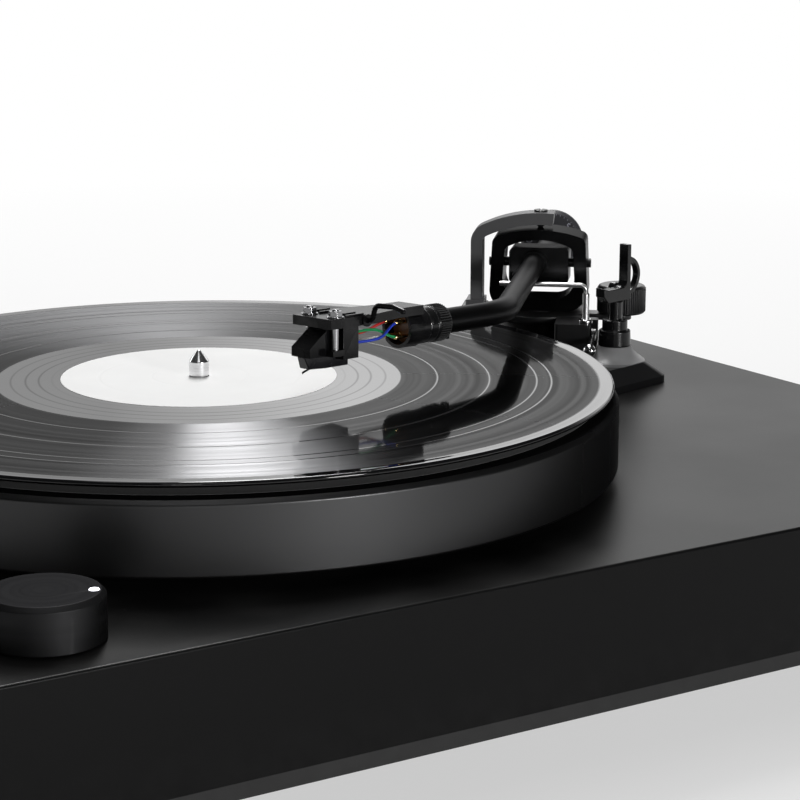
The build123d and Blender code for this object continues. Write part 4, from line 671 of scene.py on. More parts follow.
turned("pressed_disc", RECORD_OUTLINE, spindle_axis, vinyl, "platter_set", "vinyl", "record", ease=0.25, around=360)

# Labels: a blank paper disc pressed into each side of the record, with the faint rings that
# the press leaves in it.
LABEL_R, LABEL_T, HOLE_R = 50.0, 0.1, 3.62
LABEL_LEVELS = (105.5, 107.4)
PRESS_RINGS = [(17.0, 17.6), (36.0, 36.7)]
PAPER_FIBRES_PER_M, CLOUDS_PER_M = 900.0, 60.0
label_paper, paper_shader = bare_finish("label_paper", (0.80, 0.80, 0.795), 0.72)
paper_tree = label_paper.node_tree
paper_at = local_place(label_paper, spindle_axis)
paper_fibres = noise(paper_tree, paper_at, PAPER_FIBRES_PER_M, 6.0)
paper_cloud = noise(paper_tree, paper_at, CLOUDS_PER_M, 3.0)
fed(paper_shader, Base_Color=blended(paper_tree, paper_cloud, (0.78, 0.78, 0.775), (0.84, 0.84, 0.835)))
pressed_ring = bands_by_radius(paper_tree, from_axis(paper_tree, paper_at)[1], PRESS_RINGS, 0.5)
relief(paper_shader, math_node(paper_tree, "MULTIPLY_ADD", pressed_ring, -1.5, paper_fibres), 0.03)
label_meshes = []
for low in LABEL_LEVELS:
    label_outline = [(HOLE_R, low), (LABEL_R, low), (LABEL_R, low + LABEL_T), (HOLE_R, low + LABEL_T)]
    label_meshes.append(turned_mesh("label", label_outline, spindle_axis, ease=0.03, around=256))
shown("paper_labels", joined_mesh("paper_labels", label_meshes), label_paper, "platter_set", "label_white",
      "record_labels")

# Spindle: a ground steel shaft that turns in the bush, with a pointed pin that the record
# is dropped over.
SPINDLE_OUTLINE = [
    (0, 40.04), (5, 40.04), (5, 99.1), (3.6, 99.1), (3.6, 107.1), (3.3, 107.1), (3.3, 107.9), (3.6, 107.9),
    (3.6, 113.0), (0.6, 117.0), (0, 117.0)]
spindle_steel = lathe_metal("spindle_steel", (0.92, 0.92, 0.93), 0.25, spindle_axis, 0.35)
turned("ground_spindle", SPINDLE_OUTLINE, spindle_axis, spindle_steel, "platter_set", "chrome", "spindle", ease=0.25)

# Speed knob: turned from bar and anodised black, on the shaft of the switch below it.
# A clear rod near its edge carries light up from the lamp under the deck.
KNOB_BLACK, KNOB_EDGE = (0.034, 0.034, 0.035), (0.14, 0.14, 0.14)
LENS_SPOTS_PER_M = 700.0
knob_axis = at(-189, -146)
knob_black, knob_shader = bare_finish(
    "knob_black", KNOB_BLACK, 0.5, Metallic=1.0, Specular_Tint=DULL_AT_GRAZING)
knob_tree = knob_black.node_tree
knob_marks = tool_marks(knob_black, knob_axis, 0.3)
knob_rub = placed_group(knob_black, worn_and_glinting_edges, Amount=0.4).outputs["Mask"]
fed(knob_shader, Base_Color=blended(knob_tree, knob_rub, KNOB_BLACK, KNOB_EDGE),
    Roughness=remap(knob_tree, knob_marks["Tone"], 0.2, 0.8, 0.44, 0.58))
relief(knob_shader, knob_marks["Height"], 0.003)
eased("turned_knob", "speed_knob", 0.35, knob_black, "knob", "arm_black", steps=3)
lens_glow, lens_shader = bare_finish("lens_glow", (0.85, 0.86, 0.92), 0.25, Emission_Strength=2.5)
lens_tree = lens_glow.node_tree
lens_spots = noise(lens_tree, object_place(lens_tree), LENS_SPOTS_PER_M)
fed(lens_shader, Emission_Color=blended(lens_tree, lens_spots, (0.86, 0.86, 1.0), (1.0, 1.0, 1.0)))
eased("knob_lens", "knob_light", 0.3, lens_glow, "knob", "light", steps=3)

# Arm base: a moulded foot on the deck with an upright band and sloping sides, in smooth
# black. The pedestal of the arm rest is in one piece with it. The skirt round the pedestal is
# painted grey as a painted sheen, standing for the pale backdrop that its sloped top reflects.
PIVOT = at(154.391, 83.286, 118.0) @ spun(229.5, "Z")
REST_PLACE = PIVOT @ spun(53.0645, "Z") @ at(44.655, -2)
SKIRT_R, SKIRT_LOW = 18.6, -36.5
BASE_BLACK, SHEEN_GREY = (0.007, 0.007, 0.0075), (0.25, 0.25, 0.253)
base_moulding, base_shader = bare_finish("base_moulding", BASE_BLACK, 0.4, Specular_IOR_Level=0.3)
base_tree = base_moulding.node_tree
base_parts, base_r = from_axis(base_tree, local_place(base_moulding, REST_PLACE))
# The skirt's grey is a painted sheen, not the moulding's own colour: it stands for the backdrop reflected in its
# sloped top.
sheen_round = remap(base_tree, base_r, (SKIRT_R + 0.5) * MM, (SKIRT_R - 0.5) * MM)
sheen_above = remap(base_tree, base_parts["Z"], (SKIRT_LOW - 0.2) * MM, (SKIRT_LOW + 0.2) * MM)
sheen_mask = math_node(base_tree, "MULTIPLY", sheen_round, sheen_above)
base_grain = placed_group(base_moulding, spray_grain, Size=1.6).outputs
fed(base_shader, Base_Color=blended(base_tree, sheen_mask, BASE_BLACK, SHEEN_GREY),
    Roughness=remap(base_tree, base_grain["Mottle"], 0.3, 0.7, 0.36, 0.44))
relief(base_shader, base_grain["Height"], 0.0008)
eased("base_foot", "arm_base", 0.5, base_moulding, "base", "gloss_black", steps=3)

# Arm pillar: a turned alloy pillar with a platform, screwed down through the arm base. Two
# ring bearings in it hold the yoke's shaft, and an ear carries the bracket.
pillar_paint = coated("pillar_paint", (0.008, 0.008, 0.0085), 0.36, spread=0.05, grain=0.5, depth=0.003, dust=0.3)
eased("pillar_casting", "arm_pillar", 0.4, pillar_paint, "base", "arm_painted", steps=3)
dressed(bearing_steel, "pivot_bearings")

# Bracket: a flat bar bent into a C over the yoke and painted dark grey, with a slotted
# screw through its end whose point is the upper bearing.
bracket_paint = coated(
    "bracket_paint", (0.100, 0.100, 0.103), 0.50, spread=0.05, grain=0.35, depth=0.005, dust=0.3, rub=0.5)
eased("bent_bracket", "arm_bracket", 0.5, bracket_paint, "base", "arm_painted", steps=3)
screw_black = coated("screw_black", (0.012, 0.012, 0.0125), 0.34, grain=0.3, depth=0.001, dust=0.1, rub=0.5)
eased("pivot_screw", "top_pivot_screw", 0.2, screw_black, "base", "arm_painted")

# Yoke: a closed arched ring, cast and lacquered gloss black, that turns on the pillar's
# bearings. Two side screws through it carry the arm.
CLEAN = {"dust": 0.0, "rub": 0.0}
yoke_lacquer = coated(
    "yoke_lacquer", (0.030, 0.030, 0.031), 0.22, spread=0.03, grain=1.8, depth=0.0006, **CLEAN,
    Metallic=1.0, Specular_Tint=(0.3, 0.3, 0.3, 1.0))
eased("yoke_ring", "gimbal_yoke", 0.7, yoke_lacquer, "yoke", "gloss_black", steps=3)
dressed(bearing_steel, "yoke_shaft")
eased("side_screws", "yoke_pivot_screws", 0.25, screw_black, "yoke", "arm_painted")

# Lifter: a moulded block beside the pillar. A satin nickel rod, bent over under the arm tube,
# slides in its chrome ferrule, and a black lever with a chrome ball end raises it.
ROD_X, ROD_Y, ROD_FOOT = 30.0, 22.0, -19.1
ROD_PLACE = PIVOT @ at(ROD_X, ROD_Y)
FERRULE_OUTLINE = [(1.54, -20.9), (3.0, -20.9), (3.0, -19.6), (2.4, -19.1), (1.54, -19.1)]
LIFT_BAR_LEVEL, LIFT_BAR_END = -4.662, -15.0
LIFT_ROUTE = [(ROD_X, LIFT_BAR_END, LIFT_BAR_LEVEL), (ROD_X, ROD_Y, LIFT_BAR_LEVEL), (ROD_X, ROD_Y, ROD_FOOT)]
LIFT_ROD = [(0, -26.9), (1.5, -26.9), (1.5, -8.4), (1.0, -7.6), (0, -7.6)]
LEVER_PLACE = PIVOT @ at(26.0, 25.4, -27.0)
LEVER_HUB = [(0, -5.1), (1.0, -5.1), (1.0, -1.1), (3.0, -1.1), (3.0, 1.1), (0, 1.1)]
LEVER_LENGTH, LEVER_BALL_R = 33, 2.7
BALL_STEPS, BEND_STEPS = 24, 24
JET = (0.006, 0.006, 0.0065)
CHROME_BRIGHT, CHROME_DIM = (0.80, 0.80, 0.81), (0.74, 0.74, 0.75)
chrome, chrome_shader = bare_finish("chrome", CHROME_BRIGHT, 0.08, Metallic=1.0)
chrome_haze = placed_group(chrome, spray_grain, Size=2.5).outputs["Mottle"]
fed(chrome_shader, Base_Color=blended(chrome.node_tree, chrome_haze, CHROME_BRIGHT, CHROME_DIM),
    Roughness=remap(chrome.node_tree, chrome_haze, 0.3, 0.7, 0.05, 0.14))
lifter_plastic = coated("lifter_plastic", JET, 0.38, depth=0.003, dust=0.2, rub=0.1)
eased("lifter_block", "lifter_housing", 0.4, lifter_plastic, "base", "plastic_black", steps=3)
turned("lifter_collar", FERRULE_OUTLINE, ROD_PLACE, chrome, "base", "chrome", "lifter_ferrule", ease=0.25, around=64)

bent_rod, rod_in, rod_out = new_group(
    "bent_rod", "Geometry",
    {"Geometry": "Geometry", "Thickness": "Float", "Bend": "Float", "Sides": "Int", "Finish": "Material"},
    {"Geometry": "Geometry"})
rod_line = bent_rod.nodes.new("GeometryNodeMeshToCurve")
rod_bends = bent_rod.nodes.new("GeometryNodeFilletCurve")
rod_bends.mode = "POLY"
rod_bends.inputs["Count"].default_value = BEND_STEPS
rod_bends.inputs["Limit Radius"].default_value = True
rod_section = bent_rod.nodes.new("GeometryNodeCurvePrimitiveCircle")
fed(rod_section, Radius=math_node(bent_rod, "MULTIPLY", rod_in.outputs["Thickness"], 0.5))
rod_skin = bent_rod.nodes.new("GeometryNodeCurveToMesh")
rod_skin.inputs["Fill Caps"].default_value = True
rod_real = bent_rod.nodes.new("GeometryNodeRealizeInstances")
rod_finish = bent_rod.nodes.new("GeometryNodeSetMaterial")
wired((rod_in, "Geometry", rod_line, "Mesh"),
      (rod_line, "Curve", rod_bends, "Curve"),
      (rod_in, "Bend", rod_bends, "Radius"),
      (rod_in, "Sides", rod_section, "Resolution"),
      (rod_bends, "Curve", rod_skin, "Curve"),
      (rod_section, "Curve", rod_skin, "Profile Curve"),
      (rod_skin, "Mesh", rod_real, "Geometry"),
      (rod_real, "Geometry", rod_finish, "Geometry"),
      (rod_in, "Finish", rod_finish, "Material"),
      (rod_finish, "Geometry", rod_out, "Geometry"))


def rod_mesh(name, route, thickness, bend, mat, place, sides):
    """Mesh of a round rod along a route in millimetres, with bends of one radius, at its place."""
    line = bpy.data.meshes.new(name)
    steps = [(index, index + 1) for index in range(len(route) - 1)]
    line.from_pydata([Vector(point) * MM for point in route], steps, [])
    values = {"Thickness": thickness * MM, "Bend": bend * MM, "Sides": sides, "Finish": mat}
    mesh = with_tree(name, line, bent_rod, values)
    mesh.transform(place)
    work = bmesh.new()
    work.from_mesh(mesh)
    bmesh.ops.recalc_face_normals(work, faces=work.faces)
    work.to_mesh(mesh)
    work.free()
    return sharpened(mesh, 40)


bar_nickel = coated("bar_nickel", (0.90, 0.90, 0.90), 0.34, grain=0.4, depth=0.001, **CLEAN, Metallic=1.0)
bar_meshes = [rod_mesh("lift_rod_top", LIFT_ROUTE, 2.0, 2.5, bar_nickel, PIVOT, 24),
              turned_mesh("lift_rod", LIFT_ROD, ROD_PLACE, around=48)]
shown("satin_lift_bar", joined_mesh("satin_lift_bar", bar_meshes), bar_nickel, "lifter", "chrome", "lift_bar")
lever_black = coated("lever_black", JET, 0.24, grain=0.4, depth=0.001, dust=0.1, rub=0.2)
lever_meshes = [turned_mesh("lever_hub", LEVER_HUB, LEVER_PLACE @ spun(-90, "X"), ease=0.2, around=48),
                rod_mesh("lever_arm", [(0, 0, 0), (LEVER_LENGTH, 0, 0)], 2.4, 1.0, lever_black, LEVER_PLACE, 24)]
shown("cue_lever_arm", joined_mesh("cue_lever_arm", lever_meshes), lever_black, "lever", "plastic_black", "cue_lever")
ball_turns = [math.pi * step / BALL_STEPS for step in range(BALL_STEPS + 1)]
ball_outline = [(LEVER_BALL_R * math.sin(turn), -LEVER_BALL_R * math.cos(turn)) for turn in ball_turns]
ball_place = LEVER_PLACE @ at(LEVER_LENGTH, 0) @ spun(90, "Y")
turned("cue_lever_ball", ball_outline, ball_place, chrome, "lever", "chrome", "cue_lever", ease=0.1, around=48)

# Arm rest: a turned post with a ring, and on it a moulded cradle with a tall side. A hook
# behind the cradle turns over the parked tube.
POST_OUTLINE = [
    (0, -30.5), (7.0, -30.5), (6.7, -23.7), (5.4, -23.7), (5.4, -19.1), (3.1, -19.1), (3.1, -11.2), (0, -11.2)]
rest_gloss = coated(
    "rest_gloss", (0.005, 0.005, 0.0055), 0.24, spread=0.03, grain=1.2, depth=0.0006, dust=0.1, rub=0.1)
turned("turned_rest_post", POST_OUTLINE, REST_PLACE, rest_gloss, "base", "gloss_black", "rest_post", ease=0.6)
eased("rest_cradle", "arm_rest", 0.5, rest_gloss, "base", "plastic_black", steps=3)
eased("rest_hook", "rest_clip", 0.4, rest_gloss, "clip", "plastic_black", steps=3)

# Anti-skate knob: a moulded knob on the platform's arm, ribbed round its side for grip,
# with a flat top.
SKATE_PLACE = PIVOT @ at(0, 36.0)
SKATE_OUTLINE = [
    (0, -24.5), (2.0, -24.5), (2.0, -21.5), (9.8, -21.5), (10.3, -21.0), (10.3, -9.8), (9.3, -9.1), (0, -9.1)]
knob_plastic = coated("knob_plastic", JET, 0.33, grain=0.5, depth=0.002, dust=0.2, rub=0.1)
turned("skate_dial", SKATE_OUTLINE, SKATE_PLACE, knob_plastic, "skate_knob", "plastic_black", "antiskate_knob",
       ease=0.5)
ribbed("skate_ribs", SKATE_PLACE, 10.3, 0.4, -20.6, -10.4, 64, knob_plastic, "skate_knob", "plastic_black")

# Arm: a drawn alloy tube, bent once, in a block that hangs between the yoke's side screws.
# A round shaft behind the block carries the counterweight; all of it is satin black.
ARM = PIVOT @ spun(-2.45, "Y")
BEND = math.atan2(62.343, 85.472)
BEND_X, TUBE_Y, TUBE_END = 153.0, -2.0, 41.5
HEAD = ARM @ at(BEND_X, TUBE_Y) @ Matrix.Rotation(-BEND, 4, "Z")
TUBE_ROUTE = [(0, TUBE_Y, 0), (BEND_X, TUBE_Y, 0),
              (BEND_X + TUBE_END * math.cos(BEND), TUBE_Y - TUBE_END * math.sin(BEND), 0)]
LUG_OUTLINE = [(0, -6.45), (1.6, -6.45), (1.6, -4.25), (0, -4.25)]
LUG_X = 33.2
ALONG_ARM = ARM @ at(0, 0.2, 1.0) @ spun(-90, "Y")
SHAFT_OUTLINE = [(0, 0.1), (5, 0.1), (5, 93.0), (4.4, 94.0), (0, 94.0)]
tube_satin = coated(
    "tube_satin", (0.036, 0.036, 0.037), 0.36, spread=0.03, grain=0.25, depth=0.0006, dust=0.0, rub=0.1,
    Metallic=1.0, Specular_Tint=(0.55, 0.55, 0.55, 1.0))
tube_meshes = [rod_mesh("bent_tube", TUBE_ROUTE, 9.3, 45.0, tube_satin, ARM, 64),
               turned_mesh("tube_lug", LUG_OUTLINE, HEAD @ at(LUG_X, 0), around=40)]
shown("bent_tube", joined_mesh("bent_tube", tube_meshes), tube_satin, "tonearm", "arm_black", "arm_tube")
eased("pivot_cradle", "pivot_block", 0.5, yoke_lacquer, "tonearm", "arm_black", steps=3)
turned("rear_shaft", SHAFT_OUTLINE, ALONG_ARM, tube_satin, "tonearm", "arm_black", "counterweight_shaft", around=72)
dressed(tube_satin, "arm_socket")

# Counterweight: a turned drum with two grip grooves that runs along the rear shaft. The
# force dial in front of it turns on its own, with printed numbers and ticks.
WEIGHT_OUTLINE = [
    (5.04, 74.2), (11.9, 74.2), (12.3, 74.6), (12.3, 78.2), (11.3, 78.2), (11.3, 80.2), (12.3, 80.2), (12.3, 83.2),
    (11.3, 83.2), (11.3, 85.2), (12.3, 85.2), (12.3, 88.0), (11.1, 89.2), (5.04, 89.2)]
DIAL_OUTLINE = [(5.04, 70.0), (12.9, 70.0), (14.5, 71.6), (14.5, 74.0), (5.04, 74.0)]
DIAL_FACE = ALONG_ARM @ at(0, 0, 69.96) @ spun(180, "X")
NUMBERS, NUMBER_RING, NUMBER_SIZE = 8, 10.3, 3.9
TICKS, TICK_RING = 40, 12.5
TICK_OUTLINE = [(0, -0.3), (0.1, -0.3), (0.1, 0.3), (0, 0.3)]
PRINT_HALF = 0.02
weight_satin = coated("weight_satin", (0.016, 0.016, 0.0165), 0.38, spread=0.05, grain=0.3, depth=0.003, dust=0.6)
turned("weight_drum", WEIGHT_OUTLINE, ALONG_ARM, weight_satin, "weight", "arm_painted", "counterweight",
       ease=0.35, around=160)
dial_plastic = coated("dial_plastic", (0.045, 0.045, 0.050), 0.42, grain=0.5, depth=0.002, dust=0.2)
turned("dial_ring", DIAL_OUTLINE, ALONG_ARM, dial_plastic, "dial", "plastic_black", "force_dial", around=160)
print_white = coated("print_white", (0.60, 0.60, 0.70), 0.5, grain=0.4, depth=0.002, **CLEAN)


def printed_number(text, place):
    """Mesh of a printed number, facing along Z at its place."""
    curve = bpy.data.curves.new("number", "FONT")
    curve.body = text
    curve.size = NUMBER_SIZE * MM
    curve.align_x = curve.align_y = "CENTER"
    curve.extrude = PRINT_HALF * MM
    carrier = linked("number", curve)
    graph = bpy.context.evaluated_depsgraph_get()
    mesh = bpy.data.meshes.new_from_object(carrier.evaluated_get(graph))
    bpy.data.objects.remove(carrier)
    mesh.transform(place)
    return mesh


tick = turned_mesh("dial_tick", TICK_OUTLINE, ease=0.02, around=6)
tick_turns = [2 * math.pi * index / TICKS for index in range(TICKS)]
tick_ways = [(math.cos(turn), math.sin(turn), 0.0) for turn in tick_turns]
tick_spots = [(TICK_RING * x, TICK_RING * y, z) for x, y, z in tick_ways]
ticks_mesh = repeated_mesh("dial_ticks", tick, tick_spots, tick_ways, print_white, DIAL_FACE)
number_places = [DIAL_FACE @ spun(360 * index / NUMBERS, "Z") @ at(0, NUMBER_RING) for index in range(NUMBERS)]
number_meshes = [printed_number(str(index), place) for index, place in enumerate(number_places)]
shown("dial_print", joined_mesh("dial_print", number_meshes + [ticks_mesh]), print_white, "dial", "plastic_black")

# Locking collar: a turned ring nut on the arm's socket, ribbed at the tube end and with two
# polished lines at the other, that draws the headshell's plug in.
ALONG_HEAD = HEAD @ spun(90, "Y")
COLLAR_OUTLINE = [
    (5.24, 36.4), (6.5, 36.4), (6.7, 36.8), (6.7, 42.4), (6.35, 42.7), (6.35, 43.3), (6.7, 43.6), (6.7, 46.6),
    (6.4, 46.8), (6.4, 47.3), (6.7, 47.5), (6.7, 51.2), (6.4, 51.5), (5.24, 51.5)]
BRIGHT_LEVELS = (43.35, 47.3)
collar_black = coated("collar_black", JET, 0.26, grain=0.3, depth=0.001, dust=0.1, rub=0.2)
turned("ring_nut", COLLAR_OUTLINE, ALONG_HEAD, collar_black, "collar", "arm_black", "locking_collar",
       ease=0.12, around=120)
ribbed("ring_nut_ribs", ALONG_HEAD, 6.7, 0.28, 36.8, 42.2, 44, collar_black, "collar", "arm_black")
collar_bright = lathe_metal("collar_bright", (0.46, 0.46, 0.47), 0.2, ALONG_HEAD, 0.2)
line_outlines = [[(6.2, low), (6.72, low), (6.72, low + 0.3), (6.2, low + 0.3)] for low in BRIGHT_LEVELS]
line_meshes = [turned_mesh("nut_line", outline, ALONG_HEAD, ease=0.05, around=120) for outline in line_outlines]
shown("ring_nut_lines", joined_mesh("ring_nut_lines", line_meshes), collar_bright, "collar", "arm_black")

# Headshell: a flat alloy plate with slots for the cartridge's screws, on a barrel whose
# brown insulating disc carries four gilt contact pins; a finger lift is screwed to its side.
DISC_OUTLINE = [(0, 53.5), (5.88, 53.5), (5.88, 54.7), (0, 54.7)]
DISC_FACE, PIN_OFFSET = 54.7, 2.6
PIN_OUTLINE = [(0, 0), (0.9, 0), (0.9, 0.5), (0.6, 0.7), (0.6, 6.6), (0, 6.6)]
TO_FRONT, TO_BACK = (1, 0, 0), (-1, 0, 0)
# The headshell's lightened edges are a painted highlight, where its bevels would catch the light.
shell_black = coated(
    "shell_black", (0.004, 0.004, 0.0045), 0.26, spread=0.04, grain=0.3, depth=0.001, dust=0.0, rub=0.25,
    rub_colour=(0.20, 0.20, 0.20), Specular_IOR_Level=0.3)
eased("shell_plate", "headshell", 0.3, shell_black, "tonearm", "shell_grey")
eased("finger_rod", "finger_lift", 0.2, shell_black, "tonearm", "shell_grey", steps=3)
disc_resin = coated("disc_resin", (0.20, 0.085, 0.03), 0.34, grain=0.8, **CLEAN)
turned("contact_disc", DISC_OUTLINE, ALONG_HEAD, disc_resin, "tonearm", "connector_brown", "connector_disc",
       ease=0.15, around=64)
pin_gilt = coated("pin_gilt", (0.80, 0.57, 0.25), 0.22, grain=0.5, depth=0.001, **CLEAN, Metallic=1.0)
contact_pin = turned_mesh("contact_pin", PIN_OUTLINE, ease=0.1, around=20)
pin_spots = [(DISC_FACE, side * PIN_OFFSET, level * PIN_OFFSET) for level in (1, -1) for side in (-1, 1)]
repeated("contact_pins", contact_pin, pin_spots, [TO_FRONT] * 4, pin_gilt, "tonearm", "brass", place=HEAD)

# Cartridge: a moulded body held under the headshell by two screws with nuts on top, with a
# push-in stylus holder below it and a thin cantilever.
# On these glossy mouldings the lightened edges are a painted highlight along the edges, not wear.
MOULDED_GLOSS = {"spread": 0.03, "grain": 0.8, "depth": 0.0006, "dust": 0.0, "rub": 0.25,
                 "rub_colour": (0.16, 0.16, 0.16)}
cartridge_gloss = coated(
    "cartridge_gloss", (0.004, 0.004, 0.0045), 0.18, **MOULDED_GLOSS, Specular_IOR_Level=0.3)
holder_gloss = coated("holder_gloss", (0.008, 0.008, 0.010), 0.16, **MOULDED_GLOSS, Specular_IOR_Level=0.35)
eased("cartridge_block", "cartridge_body", 0.3, cartridge_gloss, "tonearm", "plastic_black")
eased("stylus_mount", "stylus_holder", 0.3, holder_gloss, "tonearm", "holder_dark")
dressed(tube_satin, "stylus")
bolt_nickel = coated("bolt_nickel", (0.50, 0.50, 0.51), 0.20, grain=0.3, depth=0.001, **CLEAN, Metallic=1.0)
eased("cartridge_bolts", "cartridge_screws", 0.15, bolt_nickel, "tonearm", "steel")

# Leads: four thin stranded wires in coloured sleeves, from the cartridge's pins to the
# contact pins, each end in a gilt push-on clip.
LEAD_COLOURS = {"red": (0.70, 0.02, 0.02), "green": (0.02, 0.36, 0.12), "white": (0.72, 0.72, 0.70),
                "blue": (0.03, 0.07, 0.66)}
CART_PINS = [(-3.2, 1.6), (3.2, 1.6), (-3.2, -2.0), (3.2, -2.0)]
DISC_PINS = [(-2.6, 2.6), (2.6, -2.6), (-2.6, -2.6), (2.6, 2.6)]
LEAD_BULGES = [(-1.6, -2.6), (-0.2, 1.8), (0.2, -0.6), (2.2, -1.6)]
LEAD_FROM, LEAD_TO = 84.49, 61.3
LEAD_STEPS, LEAD_THICK = 12, 1.05
CLIP_OUTLINE = [(0, 0), (0.85, 0), (0.85, 2.4), (0.6, 3.0), (0, 3.0)]
CLIP_BACK = Vector((1.6, 0, 0))


def lead_route(start, middle, end):
    """Points of a lead that leaves both pins straight and bulges out between them."""
    leave = Vector((end.x - start.x, 0, 0)) * 0.5
    through = (end - start) * 0.5
    points = []
    for first, way_out, last, way_in in ((start, leave, middle, through), (middle, through, end, leave)):
        for step in range(LEAD_STEPS):
            t = step / LEAD_STEPS
            near = first * (2 * t**3 - 3 * t**2 + 1) + way_out * (t**3 - 2 * t**2 + t)
            points.append(near + last * (3 * t**2 - 2 * t**3) + way_in * (t**3 - t**2))
    return points + [end]


clip = turned_mesh("lead_clip", CLIP_OUTLINE, ease=0.12, around=16)
clip_spots = []
for (label, colour), near_pin, far_pin, (out, up) in zip(LEAD_COLOURS.items(), CART_PINS, DISC_PINS, LEAD_BULGES):
    sleeve = coated(f"sleeve_{label}", colour, 0.38, grain=0.4, depth=0.001, **CLEAN)
    start, end = Vector((LEAD_FROM, *near_pin)), Vector((LEAD_TO, *far_pin))
    middle = (start + end) / 2 + Vector((0, out, up))
    lead_mesh = rod_mesh(f"lead_{label}", lead_route(start, middle, end), LEAD_THICK, 0.5, sleeve, HEAD, 12)
    shown(f"lead_{label}", lead_mesh, sleeve, "tonearm", "wire", "lead_wires")
    clip_spots += [start + CLIP_BACK, end - CLIP_BACK]
repeated("lead_clips", clip, clip_spots, [TO_BACK, TO_FRONT] * 4, pin_gilt, "tonearm", "brass", place=HEAD)

# Floor: a pale seamless sweep under the player. The camera sees it white far off and with a
# soft shadow under the player, and reflections see it dimmer.
FLOOR_HALF = 6
floor_corners = [(FLOOR_HALF * x, FLOOR_HALF * y, 0) for x, y in ((-1, -1), (1, -1), (1, 1), (-1, 1))]
floor_mesh = bpy.data.meshes.new("floor")
floor_mesh.from_pydata(floor_corners, [], [(0, 1, 2, 3)])
floor = linked("floor", floor_mesh)


def ray_masks(tree):
    """Sockets that are 1 on camera rays, and on reflected or refracted rays."""
    rays = tree.nodes.new("ShaderNodeLightPath").outputs
    mirrored = math_node(tree, "MAXIMUM", rays["Is Glossy Ray"], rays["Is Transmission Ray"])
    return rays["Is Camera Ray"], mirrored


floor_pale, floor_shader = bare_finish("floor_pale", (0.70, 0.70, 0.70), 0.9)
floor_tree = floor_pale.node_tree
floor_glow = floor_tree.nodes.new("ShaderNodeEmission")
floor_mix = floor_tree.nodes.new("ShaderNodeMixShader")
floor_direct, floor_mirrored = ray_masks(floor_tree)
floor_r = from_axis(floor_tree, object_place(floor_tree))[1]
floor_seen = math_node(floor_tree, "MULTIPLY", floor_direct, remap(floor_tree, floor_r, 0.35, 1.3, 0.55, 1.0))
floor_in_gloss = remap(floor_tree, floor_r, 0.5, 5.0, 0.1, 0.6)
fed(floor_mix, Fac=math_node(floor_tree, "MULTIPLY_ADD", floor_mirrored, floor_in_gloss, floor_seen))
wired((floor_shader, "BSDF", floor_mix, 1),
      (floor_glow, "Emission", floor_mix, 2),
      (floor_mix, "Shader", floor_tree.nodes["Material Output"], "Surface"))
floor_mesh.materials.append(floor_pale)

# Backdrop: a white cloth behind the player, low and wide, with an unlit room in front.
# The camera sees it white all round; reflections see it white only where it hangs.
BACK_AZIMUTH, LIT_AZIMUTH = math.radians(62), math.radians(-35)
ROOM_GLOSS, ROOM_DIFFUSE = 0.03, 0.09
scene = bpy.context.scene
scene.view_settings.view_transform = "Standard"
scene.world = bpy.data.worlds.new("studio")
scene.world.use_nodes = True
sky = scene.world.node_tree
sky_light = sky.nodes["Background"]
sky_parts = split_up(sky, sky.nodes.new("ShaderNodeTexCoord").outputs["Generated"])


def toward(azimuth):
    """Socket of how far a direction in the sky points to an azimuth."""
    share = math_node(sky, "MULTIPLY", sky_parts["X"], math.cos(azimuth))
    return math_node(sky, "MULTIPLY_ADD", sky_parts["Y"], math.sin(azimuth), share)


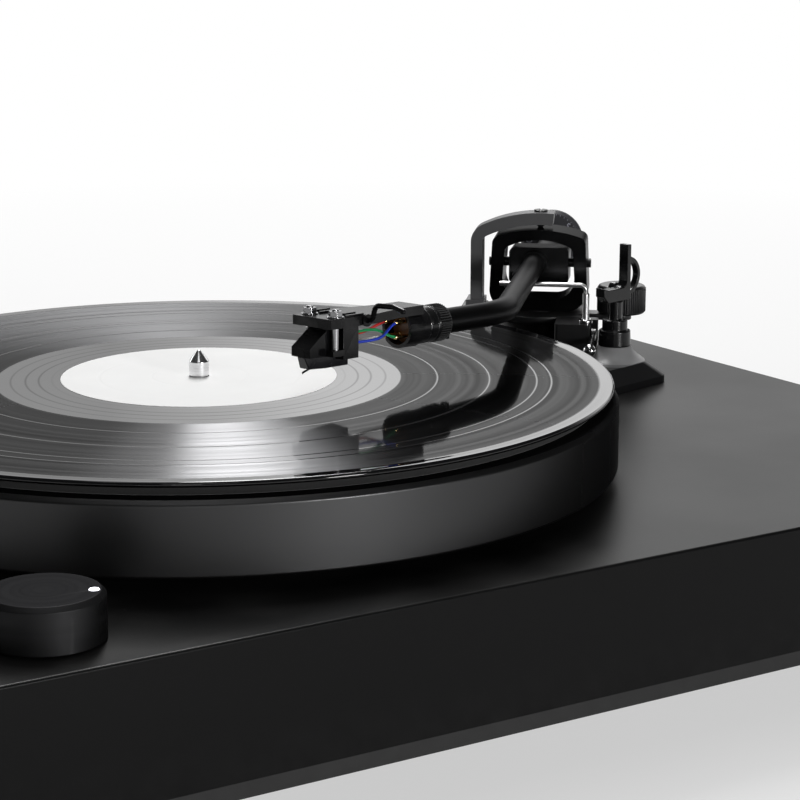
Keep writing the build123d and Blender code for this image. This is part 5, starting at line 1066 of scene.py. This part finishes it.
behind = remap(sky, toward(BACK_AZIMUTH), 0.50, 0.85)
lit_part = remap(sky, toward(LIT_AZIMUTH), -0.157, -0.055, 0.72, 1.52)
low_down = remap(sky, sky_parts["Z"], 0.50, 0.27)
cloth_shade = remap(sky, sky_parts["Z"], 0.18, 0.27, 0.84, 1.4)
cloth_hem = remap(sky, sky_parts["Z"], 0.06, 0.17)
cloth = behind
for factor in (low_down, cloth_shade, cloth_hem, lit_part):
    cloth = math_node(sky, "MULTIPLY", cloth, factor)
sky_direct, sky_mirrored = ray_masks(sky)
seen_in_gloss = math_node(sky, "MULTIPLY", math_node(sky, "ADD", cloth, ROOM_GLOSS), sky_mirrored)
other_rays = math_node(sky, "SUBTRACT", 1.0, sky_mirrored)
sky_soft = math_node(sky, "MULTIPLY_ADD", other_rays, ROOM_DIFFUSE, seen_in_gloss)
fed(sky_light, Strength=math_node(sky, "MULTIPLY_ADD", sky_direct, 1.0 - ROOM_DIFFUSE, sky_soft))
sky_light.inputs["Color"].default_value = (1.0, 1.0, 1.0, 1.0)

# Lamps: soft boxes round the player, all turned to a point over its middle. The strip behind
# makes the bright wedge on the record, and the box in front lights the platter's side.
LAMP_AIM = Vector((-0.03, 0.0, 0.1))
SOFT_BOXES = {  # azimuth, elevation, distance, width, height, power
    "strip_behind": (57, 55, 1.9, 0.32, 1.3, 30),
    "box_above": (57, 82, 1.8, 1.0, 1.0, 7),
    "box_rear": (112, 14, 2.0, 0.6, 0.5, 3.5),
    "box_high": (-120, 60, 2.0, 0.5, 0.5, 1.2),
    "box_front": (-83, 8, 1.9, 0.3, 0.3, 15),
    "box_left": (-122, 7, 2.0, 0.25, 0.25, 1.0)}
for name, (azimuth, elevation, distance, width, height, power) in SOFT_BOXES.items():
    lamp = bpy.data.lights.new(name, "AREA")
    lamp.shape = "RECTANGLE"
    lamp.size = width
    lamp.size_y = height
    lamp.energy = power
    turn, rise = math.radians(azimuth), math.radians(elevation)
    way = Vector((math.cos(rise) * math.cos(turn), math.cos(rise) * math.sin(turn), math.sin(rise)))
    soft_box = linked(name, lamp)
    soft_box.location = LAMP_AIM + way * distance
    soft_box.rotation_euler = way.to_track_quat("Z", "Y").to_euler()

# Camera: at the photograph's height and side, looking a little down on the record, with the
# slight roll that was found in the fit.
CAMERA_AT = (-0.4554, -0.7442, 0.2920)
CAMERA_WAY = Vector((0.5301, 0.8176, -0.2246)).normalized()
CAMERA_ROLL = math.radians(0.11)
LENS_MM, SENSOR_MM = 106.3, 36.0
camera_data = bpy.data.cameras.new("camera")
camera_data.lens = LENS_MM
camera_data.sensor_width = SENSOR_MM
camera_data.sensor_height = SENSOR_MM
camera_data.clip_end = 50.0
camera = linked("camera", camera_data)
camera.location = CAMERA_AT
camera_turn = CAMERA_WAY.to_track_quat("-Z", "Y").to_matrix() @ Matrix.Rotation(CAMERA_ROLL, 3, "Z")
camera.rotation_euler = camera_turn.to_euler()
scene.camera = camera
